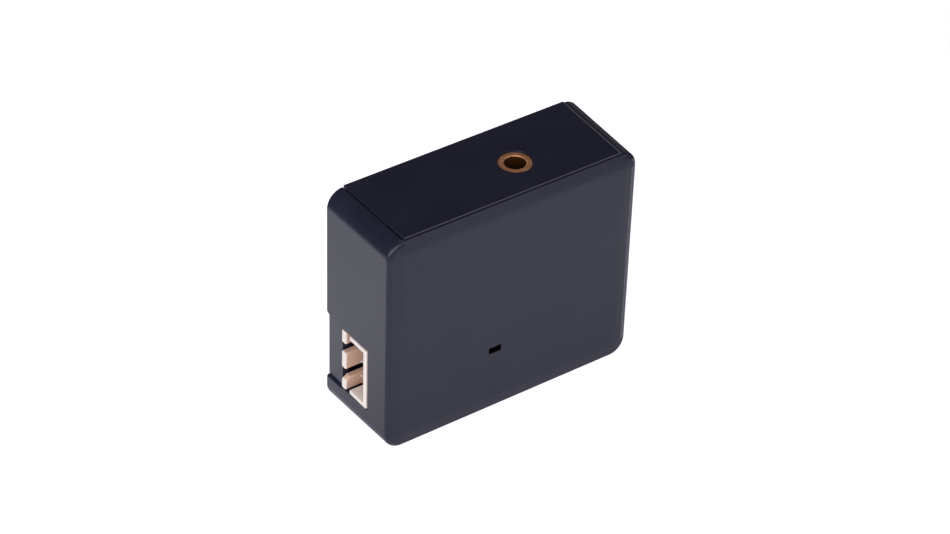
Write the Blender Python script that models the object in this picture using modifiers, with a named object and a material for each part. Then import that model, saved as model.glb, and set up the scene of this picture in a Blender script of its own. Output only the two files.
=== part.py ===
"""Small wireless audio receiver: a drafted two-part case with a 3.5 mm jack in its top and a plug header.

The front shell is a tray that opens to the back. The rear cover is an L: its top panel closes the shell's
top and its back plate closes the back. The board hangs on the cover's posts with the jack and the header on
it, so cover and board slide into the shell together. The header passes along a notch in the left wall, and
the cover's tongue then fills the rest of the notch.

Depths are measured from the front face towards the back, and places across from the left face at the front.
"""

import math

import bmesh
import bpy
from mathutils import Matrix, Vector

MM = 0.001

# Case
FRONT_WIDTH = 50.0 * MM
FRONT_HEIGHT = 42.86 * MM
DEPTH = 17.4 * MM
SIDE_DRAFT = math.tan(math.radians(1.5))
TOP_DRAFT = math.tan(math.radians(1.5))
CORNER_RADIUS = 3.2 * MM
FRONT_EDGE_RADIUS = 0.9 * MM
FRONT_WALL = 1.8 * MM
SIDE_WALL = 1.5 * MM
BOTTOM_WALL = 1.6 * MM
TOP_WALL = 1.5 * MM
BACK_WALL = 1.6 * MM
CASE_CLEARANCE = 0.2 * MM
SEAT_GAP = 0.3 * MM
OVERRUN = 2.0 * MM
CUT_MARGIN = 1.0 * MM
TOLERANCE = 0.01 * MM

# Top panel of the rear cover
PANEL_SIDE_MARGIN = 3.0 * MM
PANEL_FRONT_DEPTH = 0.3 * MM
PANEL_LAP_DEPTH = 1.4 * MM
PANEL_LAP_THICKNESS = 0.7 * MM
PANEL_LAP_SIDE_ROOM = 0.1 * MM
PANEL_PROUD = 0.3 * MM
PANEL_EDGE = 0.22 * MM

# Snap tabs between the cover and the shell's side walls
TAB_THICKNESS = 1.0 * MM
TAB_INSET = 0.1 * MM
TAB_HEIGHT = 6.0 * MM
TAB_LENGTH = 5.0 * MM
TAB_UPPER_BELOW_TOP = 13.5 * MM
TAB_LOWER_ABOVE_BASE = 11.0 * MM
BEAD_RADIUS = 0.45 * MM
BEAD_FROM_TAB_END = 1.0 * MM

# Light slot in the front
SLOT_ACROSS = 21.7 * MM
SLOT_ABOVE_BASE = 12.8 * MM
SLOT_WIDTH = 2.2 * MM
SLOT_HEIGHT = 1.05 * MM
LIGHT_WIDTH = 1.6 * MM
LIGHT_HEIGHT = 0.8 * MM
LIGHT_THICKNESS = 0.7 * MM
LIGHT_EDGE = 0.12 * MM
LIGHT_WELL_WALL = 0.6 * MM

# Ribs inside the front that the board is pressed against
RIB_THICKNESS = 1.0 * MM
RIB_FROM_POST = 4.5 * MM
RIB_ABOVE_HEADER = 2.5 * MM
RIB_BELOW_TOP = 9.5 * MM
RIB_ROOT = 0.3 * MM

# Circuit board
BOARD_THICKNESS = 1.0 * MM
BOARD_CLEARANCE = 0.8 * MM
BOARD_CORNER = 1.0 * MM

# Posts of the cover and the screws in them
POST_RADIUS = 2.3 * MM
POST_FROM_BOARD_SIDE = 4.0 * MM
POST_FROM_BOARD_EDGE = 4.0 * MM
POST_BESIDE_HEADER = 4.2 * MM
PILOT_DEPTH = 6.0 * MM
SCREW_RADIUS = 0.8 * MM
SCREW_LENGTH = 6.0 * MM
SCREW_HEAD_RADIUS = 1.6 * MM
SCREW_HEAD_HEIGHT = 1.0 * MM
SCREW_CROWN_RADIUS = 1.3 * MM
SCREW_CROWN_HEIGHT = 0.4 * MM
SCREW_CLEARANCE = 0.25 * MM

# Plug header in the left wall
HEADER_DEPTH = 5.77 * MM
HEADER_ABOVE_BASE = 5.6 * MM
HEADER_LENGTH = 12.25 * MM
HEADER_THICKNESS = 7.25 * MM
HEADER_REACH = 9.6 * MM
HEADER_MOUTH_PROUD = 0.35 * MM
HEADER_NEAR_WALL = 0.9 * MM
HEADER_FAR_WALL = 1.2 * MM
HEADER_END_WALL = 0.8 * MM
HEADER_BACK_WALL = 1.6 * MM
KEY_SLOT_WIDTH = 1.93 * MM
KEY_SLOT_SPACING = 5.3 * MM
KEY_SLOT_LENGTH = 5.5 * MM
END_SLOT_WIDTH = 1.1 * MM
END_SLOT_LENGTH = 4.0 * MM
HEADER_EDGE = 0.2 * MM
LEAD_IN_LENGTH = 0.95 * MM
LEAD_IN_HEIGHT = 0.7 * MM
NOTCH_GAP = 0.2 * MM
NOTCH_CORNER = 0.85 * MM
TONGUE_RISE = 0.5 * MM
TONGUE_RECESS = 0.47 * MM
LIP_CHAMFER = 0.35 * MM
TONGUE_THICKNESS = 1.2 * MM

# Header pins
PIN_COUNT = 3
PIN_PITCH = 3.0 * MM
PIN_SIDE = 0.64 * MM
PIN_ROW_DEPTH = 10.4 * MM
PIN_TIP_INSIDE = 2.15 * MM
PIN_TAIL_BEHIND = 0.5 * MM
PIN_BELOW_BOARD = 0.6 * MM
PIN_CLEARANCE = 0.15 * MM

# Audio jack
JACK_ACROSS = 30.3 * MM
JACK_DEPTH = 7.75 * MM
JACK_BORE = 3.6 * MM
BARREL_DIAMETER = 5.9 * MM
BARREL_LENGTH = 4.15 * MM
BARREL_BELOW_PANEL = 0.16 * MM
BARREL_STUB_WALL = 0.4 * MM
BARREL_STUB_LENGTH = 1.7 * MM
BARREL_CHAMFER = 0.15 * MM
JACK_BODY_WALL = 0.35 * MM
JACK_BODY_SIDE = 1.7 * MM
JACK_BODY_LENGTH = 12.1 * MM
PLUG_LENGTH = 14.0 * MM
PLUG_END_ROOM = 1.0 * MM
PLATE_THICKNESS = 0.4 * MM
PLATE_MARGIN = 0.2 * MM
PLATE_LEG_WIDTH = 1.6 * MM
PLATE_LEG_DROP = 3.0 * MM

# Sprung leaves of the jack
LEAF_THICKNESS = 0.3 * MM
LEAF_WIDTH = 1.6 * MM
LEAF_LENGTH = 6.2 * MM
LEAF_FROM_BORE = 0.65 * MM
LEAF_BEND_REACH = 1.0 * MM
LEAF_BEND_HALF = 1.2 * MM
LEAF_BEND_PLACE = 4.7 * MM
LEAF_SIDE_ROOM = 0.3 * MM
LEAF_END_ROOM = 0.5 * MM
LEAF_LEG_HEIGHT = 1.2 * MM
TIP_LEAF_ROOT_DROP = 8.05 * MM
RING_LEAF_ROOT_DROP = 14.45 * MM

# Wireless module
MODULE_WIDTH = 13.0 * MM
MODULE_HEIGHT = 18.0 * MM
MODULE_THICKNESS = 0.8 * MM
MODULE_FROM_BOARD_SIDE = 9.5 * MM
MODULE_FROM_BOARD_TOP = 1.0 * MM
CAN_MARGIN = 0.6 * MM
CAN_HEIGHT = 12.0 * MM
CAN_DEPTH = 2.0 * MM
CAN_WALL = 0.3 * MM
CAN_EDGE = 0.3 * MM

# Chips and capacitors on the board
CHIP_SIDE = 5.0 * MM
CHIP_THICKNESS = 0.9 * MM
CHIP_EDGE = 0.12 * MM
CHIP_BELOW_MODULE = 1.5 * MM
REGULATOR_WIDTH = 6.5 * MM
REGULATOR_HEIGHT = 3.5 * MM
REGULATOR_THICKNESS = 1.6 * MM
REGULATOR_ABOVE_HEADER = 4.0 * MM
REGULATOR_FROM_BOARD_SIDE = 4.5 * MM
CAPACITOR_DIAMETER = 5.0 * MM
CAPACITOR_LENGTH = 5.4 * MM
CAPACITOR_BASE_SIDE = 5.3 * MM
CAPACITOR_BASE_THICKNESS = 1.3 * MM
CAPACITOR_BASE_CORNER = 0.8 * MM
CAPACITOR_CAN_EDGE = 0.4 * MM
CRIMP_HEIGHT = 1.1 * MM
CRIMP_HALF = 0.35 * MM
CRIMP_DEPTH = 0.25 * MM
CAPACITOR_PITCH = 6.2 * MM
CAPACITOR_FROM_BOARD_SIDE = 3.5 * MM

CORNER_SEGMENTS = 6
EDGE_SEGMENTS = 3
ROUND_SEGMENTS = 32
SMOOTH_ANGLE = math.radians(30.0)

# Places worked out from the sizes above
CASE_LEFT = -FRONT_WIDTH / 2
STUB_RADIUS = JACK_BORE / 2 + BARREL_STUB_WALL
STUB_ROOM_RADIUS = STUB_RADIUS + SEAT_GAP
JACK_BODY_WIDTH = JACK_BORE + 2 * JACK_BODY_SIDE
JACK_BODY_THICKNESS = 2 * (STUB_ROOM_RADIUS + JACK_BODY_WALL)
ON_BOARD_DEPTH = JACK_DEPTH - JACK_BODY_THICKNESS / 2
BOARD_BACK_DEPTH = ON_BOARD_DEPTH - SEAT_GAP
BOARD_FRONT_DEPTH = BOARD_BACK_DEPTH - BOARD_THICKNESS
BOARD_LEFT = CASE_LEFT + SIDE_WALL + BOARD_CLEARANCE
BOARD_RIGHT = -BOARD_LEFT
BOARD_LOW = BOTTOM_WALL + BOARD_CLEARANCE
BACK_INNER_DEPTH = DEPTH - BACK_WALL
HEADER_MOUTH = CASE_LEFT - HEADER_MOUTH_PROUD
HEADER_FAR_DEPTH = HEADER_DEPTH + HEADER_THICKNESS
HEADER_LOW = HEADER_ABOVE_BASE
HEADER_HIGH = HEADER_ABOVE_BASE + HEADER_LENGTH
HEADER_MIDDLE = (HEADER_LOW + HEADER_HIGH) / 2
NOTCH_LOW = HEADER_LOW - NOTCH_GAP
TONGUE_HIGH = HEADER_HIGH + TONGUE_RISE
JACK_X = CASE_LEFT + JACK_ACROSS
JACK_TOP = FRONT_HEIGHT + TOP_DRAFT * JACK_DEPTH + PANEL_PROUD - BARREL_BELOW_PANEL
BOARD_HIGH = JACK_TOP - BARREL_LENGTH - SEAT_GAP
JACK_BODY_TOP = BOARD_HIGH - PLATE_THICKNESS - SEAT_GAP
JACK_BODY_LOW = JACK_BODY_TOP - JACK_BODY_LENGTH
LEAF_OFFSET = JACK_BORE / 2 + LEAF_FROM_BORE


def depth_to_y(depth):
    return depth - DEPTH / 2


def half_width(depth):
    """Half of the case's outer width at this depth."""
    return FRONT_WIDTH / 2 + SIDE_DRAFT * depth


def panel_half_width(depth):
    """Half of the width of the opening for the top panel, which follows the draft of the sides."""
    return half_width(depth) - PANEL_SIDE_MARGIN


def top_height(depth):
    """Height of the case's top surface at this depth."""
    return FRONT_HEIGHT + TOP_DRAFT * depth


def clear_scene():
    for existing in list(bpy.data.objects):
        bpy.data.objects.remove(existing, do_unlink=True)


def new_collection(name):
    collection = bpy.data.collections.new(name)
    bpy.context.scene.collection.children.link(collection)
    return collection


def new_material(name, colour, roughness, metallic=0.0):
    material = bpy.data.materials.new(name)
    material.use_nodes = True
    shader = material.node_tree.nodes["Principled BSDF"]
    shader.inputs["Base Color"].default_value = (*colour, 1.0)
    shader.inputs["Roughness"].default_value = roughness
    shader.inputs["Metallic"].default_value = metallic
    return material


def object_from(name, shape, collection, place=(0.0, 0.0, 0.0), parent=None):
    """An object of this bmesh, which is freed, with its origin at the place."""
    mesh = bpy.data.meshes.new(name)
    bmesh.ops.recalc_face_normals(shape, faces=shape.faces)
    shape.to_mesh(mesh)
    shape.free()
    made = bpy.data.objects.new(name, mesh)
    made.location = place
    made.parent = parent
    collection.objects.link(made)
    return made


def round_edges(shape, edges, radius, segments):
    bmesh.ops.bevel(shape, geom=edges, offset=radius, segments=segments, profile=0.5, affect="EDGES")


def block_shape(low, high):
    shape = bmesh.new()
    low, high = Vector(low), Vector(high)
    place = Matrix.Translation((low + high) / 2) @ Matrix.Diagonal((*(high - low), 1.0))
    bmesh.ops.create_cube(shape, size=1.0, matrix=place)
    return shape


def rounded_block_shape(low, high, axis, radius, segments=CORNER_SEGMENTS):
    """A block whose four edges along one axis are rounded."""
    shape = block_shape(low, high)
    along = [e for e in shape.edges if abs((e.verts[0].co - e.verts[1].co)[axis]) > TOLERANCE]
    round_edges(shape, along, radius, segments)
    return shape


def drafted_shape(near, far, width_half, low, high, radius):
    """A block from one depth to another that grows with the draft, its edges along the depth rounded."""
    shape = bmesh.new()
    bmesh.ops.create_cube(shape, size=2.0)
    for vertex in shape.verts:
        depth = near if vertex.co.y < 0 else far
        side = width_half(depth)
        vertex.co.x = side if vertex.co.x > 0 else -side
        vertex.co.z = high(depth) if vertex.co.z > 0 else low(depth)
        vertex.co.y = depth_to_y(depth)
    if radius:
        middle = depth_to_y((near + far) / 2)
        along = [e for e in shape.edges if (e.verts[0].co.y - middle) * (e.verts[1].co.y - middle) < 0]
        round_edges(shape, along, radius, CORNER_SEGMENTS)
    return shape


def cylinder_shape(radius, start, end, segments=ROUND_SEGMENTS):
    """A cylinder between two points."""
    shape = bmesh.new()
    start, end = Vector(start), Vector(end)
    along = end - start
    turn = Vector((0.0, 0.0, 1.0)).rotation_difference(along).to_matrix().to_4x4()
    bmesh.ops.create_cone(
        shape,
        cap_ends=True,
        segments=segments,
        radius1=radius,
        radius2=radius,
        depth=along.length,
        matrix=Matrix.Translation((start + end) / 2) @ turn,
    )
    return shape


def turned_object(name, profile, collection, place, parent=None):
    """A profile of (radius, height) points, listed down its outer side, turned about Z by a Screw."""
    shape = bmesh.new()
    points = [shape.verts.new((radius, 0.0, height)) for radius, height in profile]
    for first, second in zip(points, points[1:] + points[:1]):
        shape.edges.new((first, second))
    mesh = bpy.data.meshes.new(name)
    shape.to_mesh(mesh)
    shape.free()
    made = bpy.data.objects.new(name, mesh)
    made.location = place
    made.parent = parent
    collection.objects.link(made)
    screw = made.modifiers.new("turn", "SCREW")
    screw.steps = ROUND_SEGMENTS
    screw.render_steps = ROUND_SEGMENTS
    screw.use_merge_vertices = True
    screw.merge_threshold = TOLERANCE
    screw.use_smooth_shade = True
    return made


def finish(made, material):
    made.data.materials.append(material)
    made.data.shade_smooth()
    made.data.set_sharp_from_angle(angle=SMOOTH_ANGLE)
    return made


def combine(target, helper, operation):
    """A Boolean with a helper object that isn't part of the model."""
    helper.hide_render = True
    helper.display_type = "WIRE"
    modifier = target.modifiers.new(operation.lower() + "_" + helper.name, "BOOLEAN")
    modifier.operation = operation
    modifier.solver = "EXACT"
    modifier.object = helper


def cut(target, name, shape, helpers):
    combine(target, object_from(name, shape, helpers), "DIFFERENCE")


def join(target, name, shape, helpers):
    combine(target, object_from(name, shape, helpers), "UNION")


def snap_tab_places():
    """Side and height of each snap tab. The header's notch leaves no lower tab on the left."""
    upper = FRONT_HEIGHT - TAB_UPPER_BELOW_TOP
    return [(-1, upper), (1, upper), (1, TAB_LOWER_ABOVE_BASE)]


def snap_bead_shape(side, height, radius, length):
    """A round bead on a snap tab's outer face, or the groove for it in the wall."""
    depth = BACK_INNER_DEPTH - TAB_LENGTH + BEAD_FROM_TAB_END
    across = side * (half_width(depth) - SIDE_WALL - CASE_CLEARANCE - TAB_INSET)
    y = depth_to_y(depth)
    return cylinder_shape(radius, (across, y, height - length / 2), (across, y, height + length / 2))


def post_places():
    """Across and height of the four posts, the lower left one beside the header."""
    left = BOARD_LEFT + POST_FROM_BOARD_SIDE
    right = BOARD_RIGHT - POST_FROM_BOARD_SIDE
    low = BOARD_LOW + POST_FROM_BOARD_EDGE
    high = BOARD_HIGH - POST_FROM_BOARD_EDGE
    beside_header = HEADER_MOUTH + HEADER_REACH + PIN_TAIL_BEHIND + POST_BESIDE_HEADER
    return [(beside_header, low), (right, low), (left, high), (right, high)]


def pin_heights():
    first = HEADER_MIDDLE - PIN_PITCH * (PIN_COUNT - 1) / 2
    return [first + PIN_PITCH * i for i in range(PIN_COUNT)]


def notch_corner_shape():
    """The material outside the rounded upper corner where the notch runs out through the left wall's rim."""
    edge = TONGUE_HIGH + NOTCH_GAP
    left = CASE_LEFT - OVERRUN
    right = CASE_LEFT + SIDE_WALL + SEAT_GAP
    middle_y = depth_to_y(DEPTH - NOTCH_CORNER)
    middle_z = edge + NOTCH_CORNER
    shape = bmesh.new()
    outline = [shape.verts.new((left, middle_y + OVERRUN, edge - OVERRUN))]
    outline.append(shape.verts.new((left, middle_y, edge - OVERRUN)))
    for step in range(CORNER_SEGMENTS + 1):
        turn = math.pi / 2 * step / CORNER_SEGMENTS
        y = middle_y + NOTCH_CORNER * math.sin(turn)
        z = middle_z - NOTCH_CORNER * math.cos(turn)
        outline.append(shape.verts.new((left, y, z)))
    outline.append(shape.verts.new((left, middle_y + OVERRUN, middle_z)))
    raised = bmesh.ops.extrude_face_region(shape, geom=[shape.faces.new(outline)])["geom"]
    lifted = [v for v in raised if isinstance(v, bmesh.types.BMVert)]
    bmesh.ops.translate(shape, verts=lifted, vec=(right - left, 0.0, 0.0))
    return shape


def lip_chamfer_shape():
    """The outer corner of the notch's lower edge, taken off where the tongue stands behind it."""
    shape = bmesh.new()
    bmesh.ops.create_cube(shape, size=2.0)
    for vertex in shape.verts:
        depth = HEADER_FAR_DEPTH if vertex.co.y < 0 else DEPTH + OVERRUN
        outside = OVERRUN if vertex.co.x < 0 else -LIP_CHAMFER
        low = NOTCH_LOW - LIP_CHAMFER - outside
        high = NOTCH_LOW + OVERRUN
        height = low if vertex.co.z < 0 else high
        vertex.co = (-half_width(depth) - outside, depth_to_y(depth), height)
    return shape


def make_front_shell(parts, helpers):
    body = drafted_shape(0.0, DEPTH, half_width, lambda depth: 0.0, top_height, CORNER_RADIUS)
    front_y = depth_to_y(0.0)
    rim = [e for e in body.edges if all(abs(v.co.y - front_y) < TOLERANCE for v in e.verts)]
    round_edges(body, rim, FRONT_EDGE_RADIUS, EDGE_SEGMENTS)
    shell = object_from("front_shell", body, parts)

    inner_radius = CORNER_RADIUS - SIDE_WALL
    cavity = drafted_shape(
        FRONT_WALL,
        DEPTH + OVERRUN,
        lambda depth: half_width(depth) - SIDE_WALL,
        lambda depth: BOTTOM_WALL,
        lambda depth: top_height(depth) - TOP_WALL,
        inner_radius,
    )
    cut(shell, "shell_cavity", cavity, helpers)

    ledge = TOP_WALL + SEAT_GAP
    top_opening = drafted_shape(
        PANEL_LAP_DEPTH,
        DEPTH + OVERRUN,
        panel_half_width,
        lambda depth: top_height(depth) - ledge,
        lambda depth: top_height(depth) + OVERRUN,
        0.0,
    )
    cut(shell, "shell_top_opening", top_opening, helpers)
    lap_seat = drafted_shape(
        PANEL_FRONT_DEPTH,
        PANEL_LAP_DEPTH + CUT_MARGIN,
        lambda depth: panel_half_width(depth) + PANEL_LAP_SIDE_ROOM,
        lambda depth: top_height(depth) - PANEL_LAP_THICKNESS - CASE_CLEARANCE,
        lambda depth: top_height(depth) + OVERRUN,
        0.0,
    )
    cut(shell, "shell_lap_seat", lap_seat, helpers)

    notch_left = CASE_LEFT - OVERRUN
    notch_right = CASE_LEFT + SIDE_WALL + SEAT_GAP
    notch = block_shape(
        (notch_left, depth_to_y(HEADER_DEPTH - NOTCH_GAP), NOTCH_LOW),
        (notch_right, depth_to_y(DEPTH + OVERRUN), HEADER_HIGH + NOTCH_GAP),
    )
    cut(shell, "shell_header_notch", notch, helpers)
    tongue_notch = block_shape(
        (notch_left, depth_to_y(HEADER_FAR_DEPTH), NOTCH_LOW + CUT_MARGIN),
        (notch_right, depth_to_y(DEPTH + OVERRUN), TONGUE_HIGH + NOTCH_GAP),
    )
    cut(shell, "shell_tongue_notch", tongue_notch, helpers)
    cut(shell, "shell_notch_corner", notch_corner_shape(), helpers)
    cut(shell, "shell_lip_chamfer", lip_chamfer_shape(), helpers)

    slot_x = CASE_LEFT + SLOT_ACROSS
    inside = depth_to_y(FRONT_WALL - RIB_ROOT)
    at_board = depth_to_y(BOARD_FRONT_DEPTH - SEAT_GAP)
    well_half_width = SLOT_WIDTH / 2 + LIGHT_WELL_WALL
    well_half_height = SLOT_HEIGHT / 2 + LIGHT_WELL_WALL
    well = block_shape(
        (slot_x - well_half_width, inside, SLOT_ABOVE_BASE - well_half_height),
        (slot_x + well_half_width, at_board, SLOT_ABOVE_BASE + well_half_height),
    )
    join(shell, "shell_light_well", well, helpers)
    for number, side in enumerate((-1, 1), start=1):
        middle = side * (BOARD_RIGHT - POST_FROM_BOARD_SIDE - RIB_FROM_POST)
        rib = block_shape(
            (middle - RIB_THICKNESS / 2, inside, HEADER_HIGH + RIB_ABOVE_HEADER),
            (middle + RIB_THICKNESS / 2, at_board, FRONT_HEIGHT - RIB_BELOW_TOP),
        )
        join(shell, f"shell_board_rib_{number}", rib, helpers)

    slot = block_shape(
        (slot_x - SLOT_WIDTH / 2, depth_to_y(-OVERRUN), SLOT_ABOVE_BASE - SLOT_HEIGHT / 2),
        (slot_x + SLOT_WIDTH / 2, depth_to_y(BOARD_FRONT_DEPTH), SLOT_ABOVE_BASE + SLOT_HEIGHT / 2),
    )
    cut(shell, "shell_light_slot", slot, helpers)

    for number, (side, height) in enumerate(snap_tab_places(), start=1):
        groove = snap_bead_shape(side, height, BEAD_RADIUS + CASE_CLEARANCE, TAB_HEIGHT + 2 * CASE_CLEARANCE)
        cut(shell, f"shell_snap_groove_{number}", groove, helpers)
    return finish(shell, new_material("case_plastic_front", (0.018, 0.018, 0.040), 0.5))


def make_rear_cover(parts, helpers):
    inset = SIDE_WALL + CASE_CLEARANCE
    plate = drafted_shape(
        BACK_INNER_DEPTH,
        DEPTH,
        lambda depth: half_width(depth) - inset,
        lambda depth: BOTTOM_WALL + CASE_CLEARANCE,
        lambda depth: top_height(depth) - TOP_WALL - CASE_CLEARANCE,
        CORNER_RADIUS - inset,
    )
    cover = object_from("rear_cover", plate, parts)

    panel = drafted_shape(
        PANEL_FRONT_DEPTH + CASE_CLEARANCE,
        DEPTH,
        lambda depth: panel_half_width(depth) - CASE_CLEARANCE,
        lambda depth: top_height(depth) - TOP_WALL,
        lambda depth: top_height(depth) + PANEL_PROUD,
        0.0,
    )
    back_y = depth_to_y(DEPTH)
    upper = [v for v in panel.verts if v.co.z > FRONT_HEIGHT]
    eased = [e for e in panel.edges if all(v in upper for v in e.verts)]
    eased = [e for e in eased if any(v.co.y < back_y - TOLERANCE for v in e.verts)]
    round_edges(panel, eased, PANEL_EDGE, 2)
    join(cover, "cover_top_panel", panel, helpers)

    # The panel's underside meets the plate's inner face along one rib, so the two overlap and join
    rib = drafted_shape(
        BACK_INNER_DEPTH,
        DEPTH,
        lambda depth: panel_half_width(depth) - CASE_CLEARANCE - PANEL_EDGE,
        lambda depth: top_height(depth) - 2 * TOP_WALL,
        lambda depth: top_height(depth) - TOP_WALL / 2,
        0.0,
    )
    join(cover, "cover_corner_rib", rib, helpers)

    # The panel's front end is thinned to a lap that lies on the shell's front wall
    under_lap = drafted_shape(
        -OVERRUN,
        PANEL_LAP_DEPTH + CASE_CLEARANCE,
        half_width,
        lambda depth: top_height(depth) - 2 * TOP_WALL,
        lambda depth: top_height(depth) - PANEL_LAP_THICKNESS,
        0.0,
    )
    cut(cover, "cover_under_lap", under_lap, helpers)

    tongue_left = -half_width(DEPTH) + TONGUE_RECESS
    tongue = block_shape(
        (tongue_left, depth_to_y(HEADER_FAR_DEPTH + NOTCH_GAP), HEADER_LOW),
        (tongue_left + TONGUE_THICKNESS, depth_to_y(DEPTH), TONGUE_HIGH),
    )
    join(cover, "cover_tongue", tongue, helpers)
    bridge = block_shape(
        (tongue_left, depth_to_y(BACK_INNER_DEPTH), HEADER_LOW),
        (CASE_LEFT + 2 * inset, depth_to_y(DEPTH), TONGUE_HIGH),
    )
    join(cover, "cover_tongue_bridge", bridge, helpers)

    for number, (across, height) in enumerate(post_places(), start=1):
        start = (across, depth_to_y(ON_BOARD_DEPTH), height)
        end = (across, depth_to_y(BACK_INNER_DEPTH + BACK_WALL / 2), height)
        join(cover, f"cover_post_{number}", cylinder_shape(POST_RADIUS, start, end), helpers)
        pilot_end = (across, depth_to_y(ON_BOARD_DEPTH + PILOT_DEPTH), height)
        pilot_start = (across, depth_to_y(ON_BOARD_DEPTH - CUT_MARGIN), height)
        pilot = cylinder_shape(SCREW_RADIUS + SCREW_CLEARANCE, pilot_start, pilot_end)
        cut(cover, f"cover_pilot_{number}", pilot, helpers)

    for number, (side, height) in enumerate(snap_tab_places(), start=1):
        tab = drafted_shape(
            BACK_INNER_DEPTH - TAB_LENGTH,
            BACK_INNER_DEPTH + BACK_WALL / 2,
            lambda depth: TAB_THICKNESS / 2,
            lambda depth: height - TAB_HEIGHT / 2,
            lambda depth: height + TAB_HEIGHT / 2,
            0.0,
        )
        for vertex in tab.verts:
            depth = vertex.co.y + DEPTH / 2
            vertex.co.x += side * (half_width(depth) - inset - TAB_INSET - TAB_THICKNESS / 2)
        join(cover, f"cover_snap_tab_{number}", tab, helpers)
        bead = snap_bead_shape(side, height, BEAD_RADIUS, TAB_HEIGHT - 2 * BEAD_RADIUS)
        join(cover, f"cover_snap_bead_{number}", bead, helpers)

    hole_low = (JACK_X, depth_to_y(JACK_DEPTH), JACK_TOP - TOP_WALL - OVERRUN)
    hole_high = (JACK_X, depth_to_y(JACK_DEPTH), JACK_TOP + OVERRUN)
    hole = cylinder_shape(BARREL_DIAMETER / 2 + CASE_CLEARANCE, hole_low, hole_high)
    cut(cover, "cover_jack_hole", hole, helpers)
    return finish(cover, new_material("case_plastic_rear", (0.016, 0.016, 0.036), 0.5))


def make_circuit_board(parts, helpers):
    low = (BOARD_LEFT, depth_to_y(BOARD_FRONT_DEPTH), BOARD_LOW)
    high = (BOARD_RIGHT, depth_to_y(BOARD_BACK_DEPTH), BOARD_HIGH)
    board = object_from("circuit_board", rounded_block_shape(low, high, 1, BOARD_CORNER), parts)
    holes = [(across, height, SCREW_RADIUS + SCREW_CLEARANCE) for across, height in post_places()]
    pin_x = HEADER_MOUTH + HEADER_REACH + PIN_TAIL_BEHIND + PIN_SIDE / 2
    pin_hole = PIN_SIDE / math.sqrt(2.0) + PIN_CLEARANCE
    holes += [(pin_x, height, pin_hole) for height in pin_heights()]
    for number, (across, height, radius) in enumerate(holes, start=1):
        start = (across, depth_to_y(BOARD_FRONT_DEPTH - CUT_MARGIN), height)
        end = (across, depth_to_y(BOARD_BACK_DEPTH + CUT_MARGIN), height)
        cut(board, f"board_hole_{number}", cylinder_shape(radius, start, end), helpers)
    return finish(board, new_material("board_green", (0.020, 0.120, 0.050), 0.45))


def make_board_screws(parts):
    steel = new_material("screw_steel", (0.55, 0.55, 0.56), 0.35, 1.0)
    head_y = depth_to_y(BOARD_FRONT_DEPTH - SEAT_GAP)
    reach = SCREW_LENGTH - SCREW_HEAD_HEIGHT
    profile = [
        (0.0, SCREW_HEAD_HEIGHT),
        (SCREW_CROWN_RADIUS, SCREW_HEAD_HEIGHT),
        (SCREW_HEAD_RADIUS, SCREW_HEAD_HEIGHT - SCREW_CROWN_HEIGHT),
        (SCREW_HEAD_RADIUS, 0.0),
        (SCREW_RADIUS, 0.0),
        (SCREW_RADIUS, SCREW_RADIUS - reach),
        (0.0, -reach),
    ]
    for number, (across, height) in enumerate(post_places(), start=1):
        screw = turned_object(f"board_screw_{number}", profile, parts, (across, head_y, height))
        screw.rotation_euler = (math.radians(90.0), 0.0, 0.0)
        finish(screw, steel)


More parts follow.
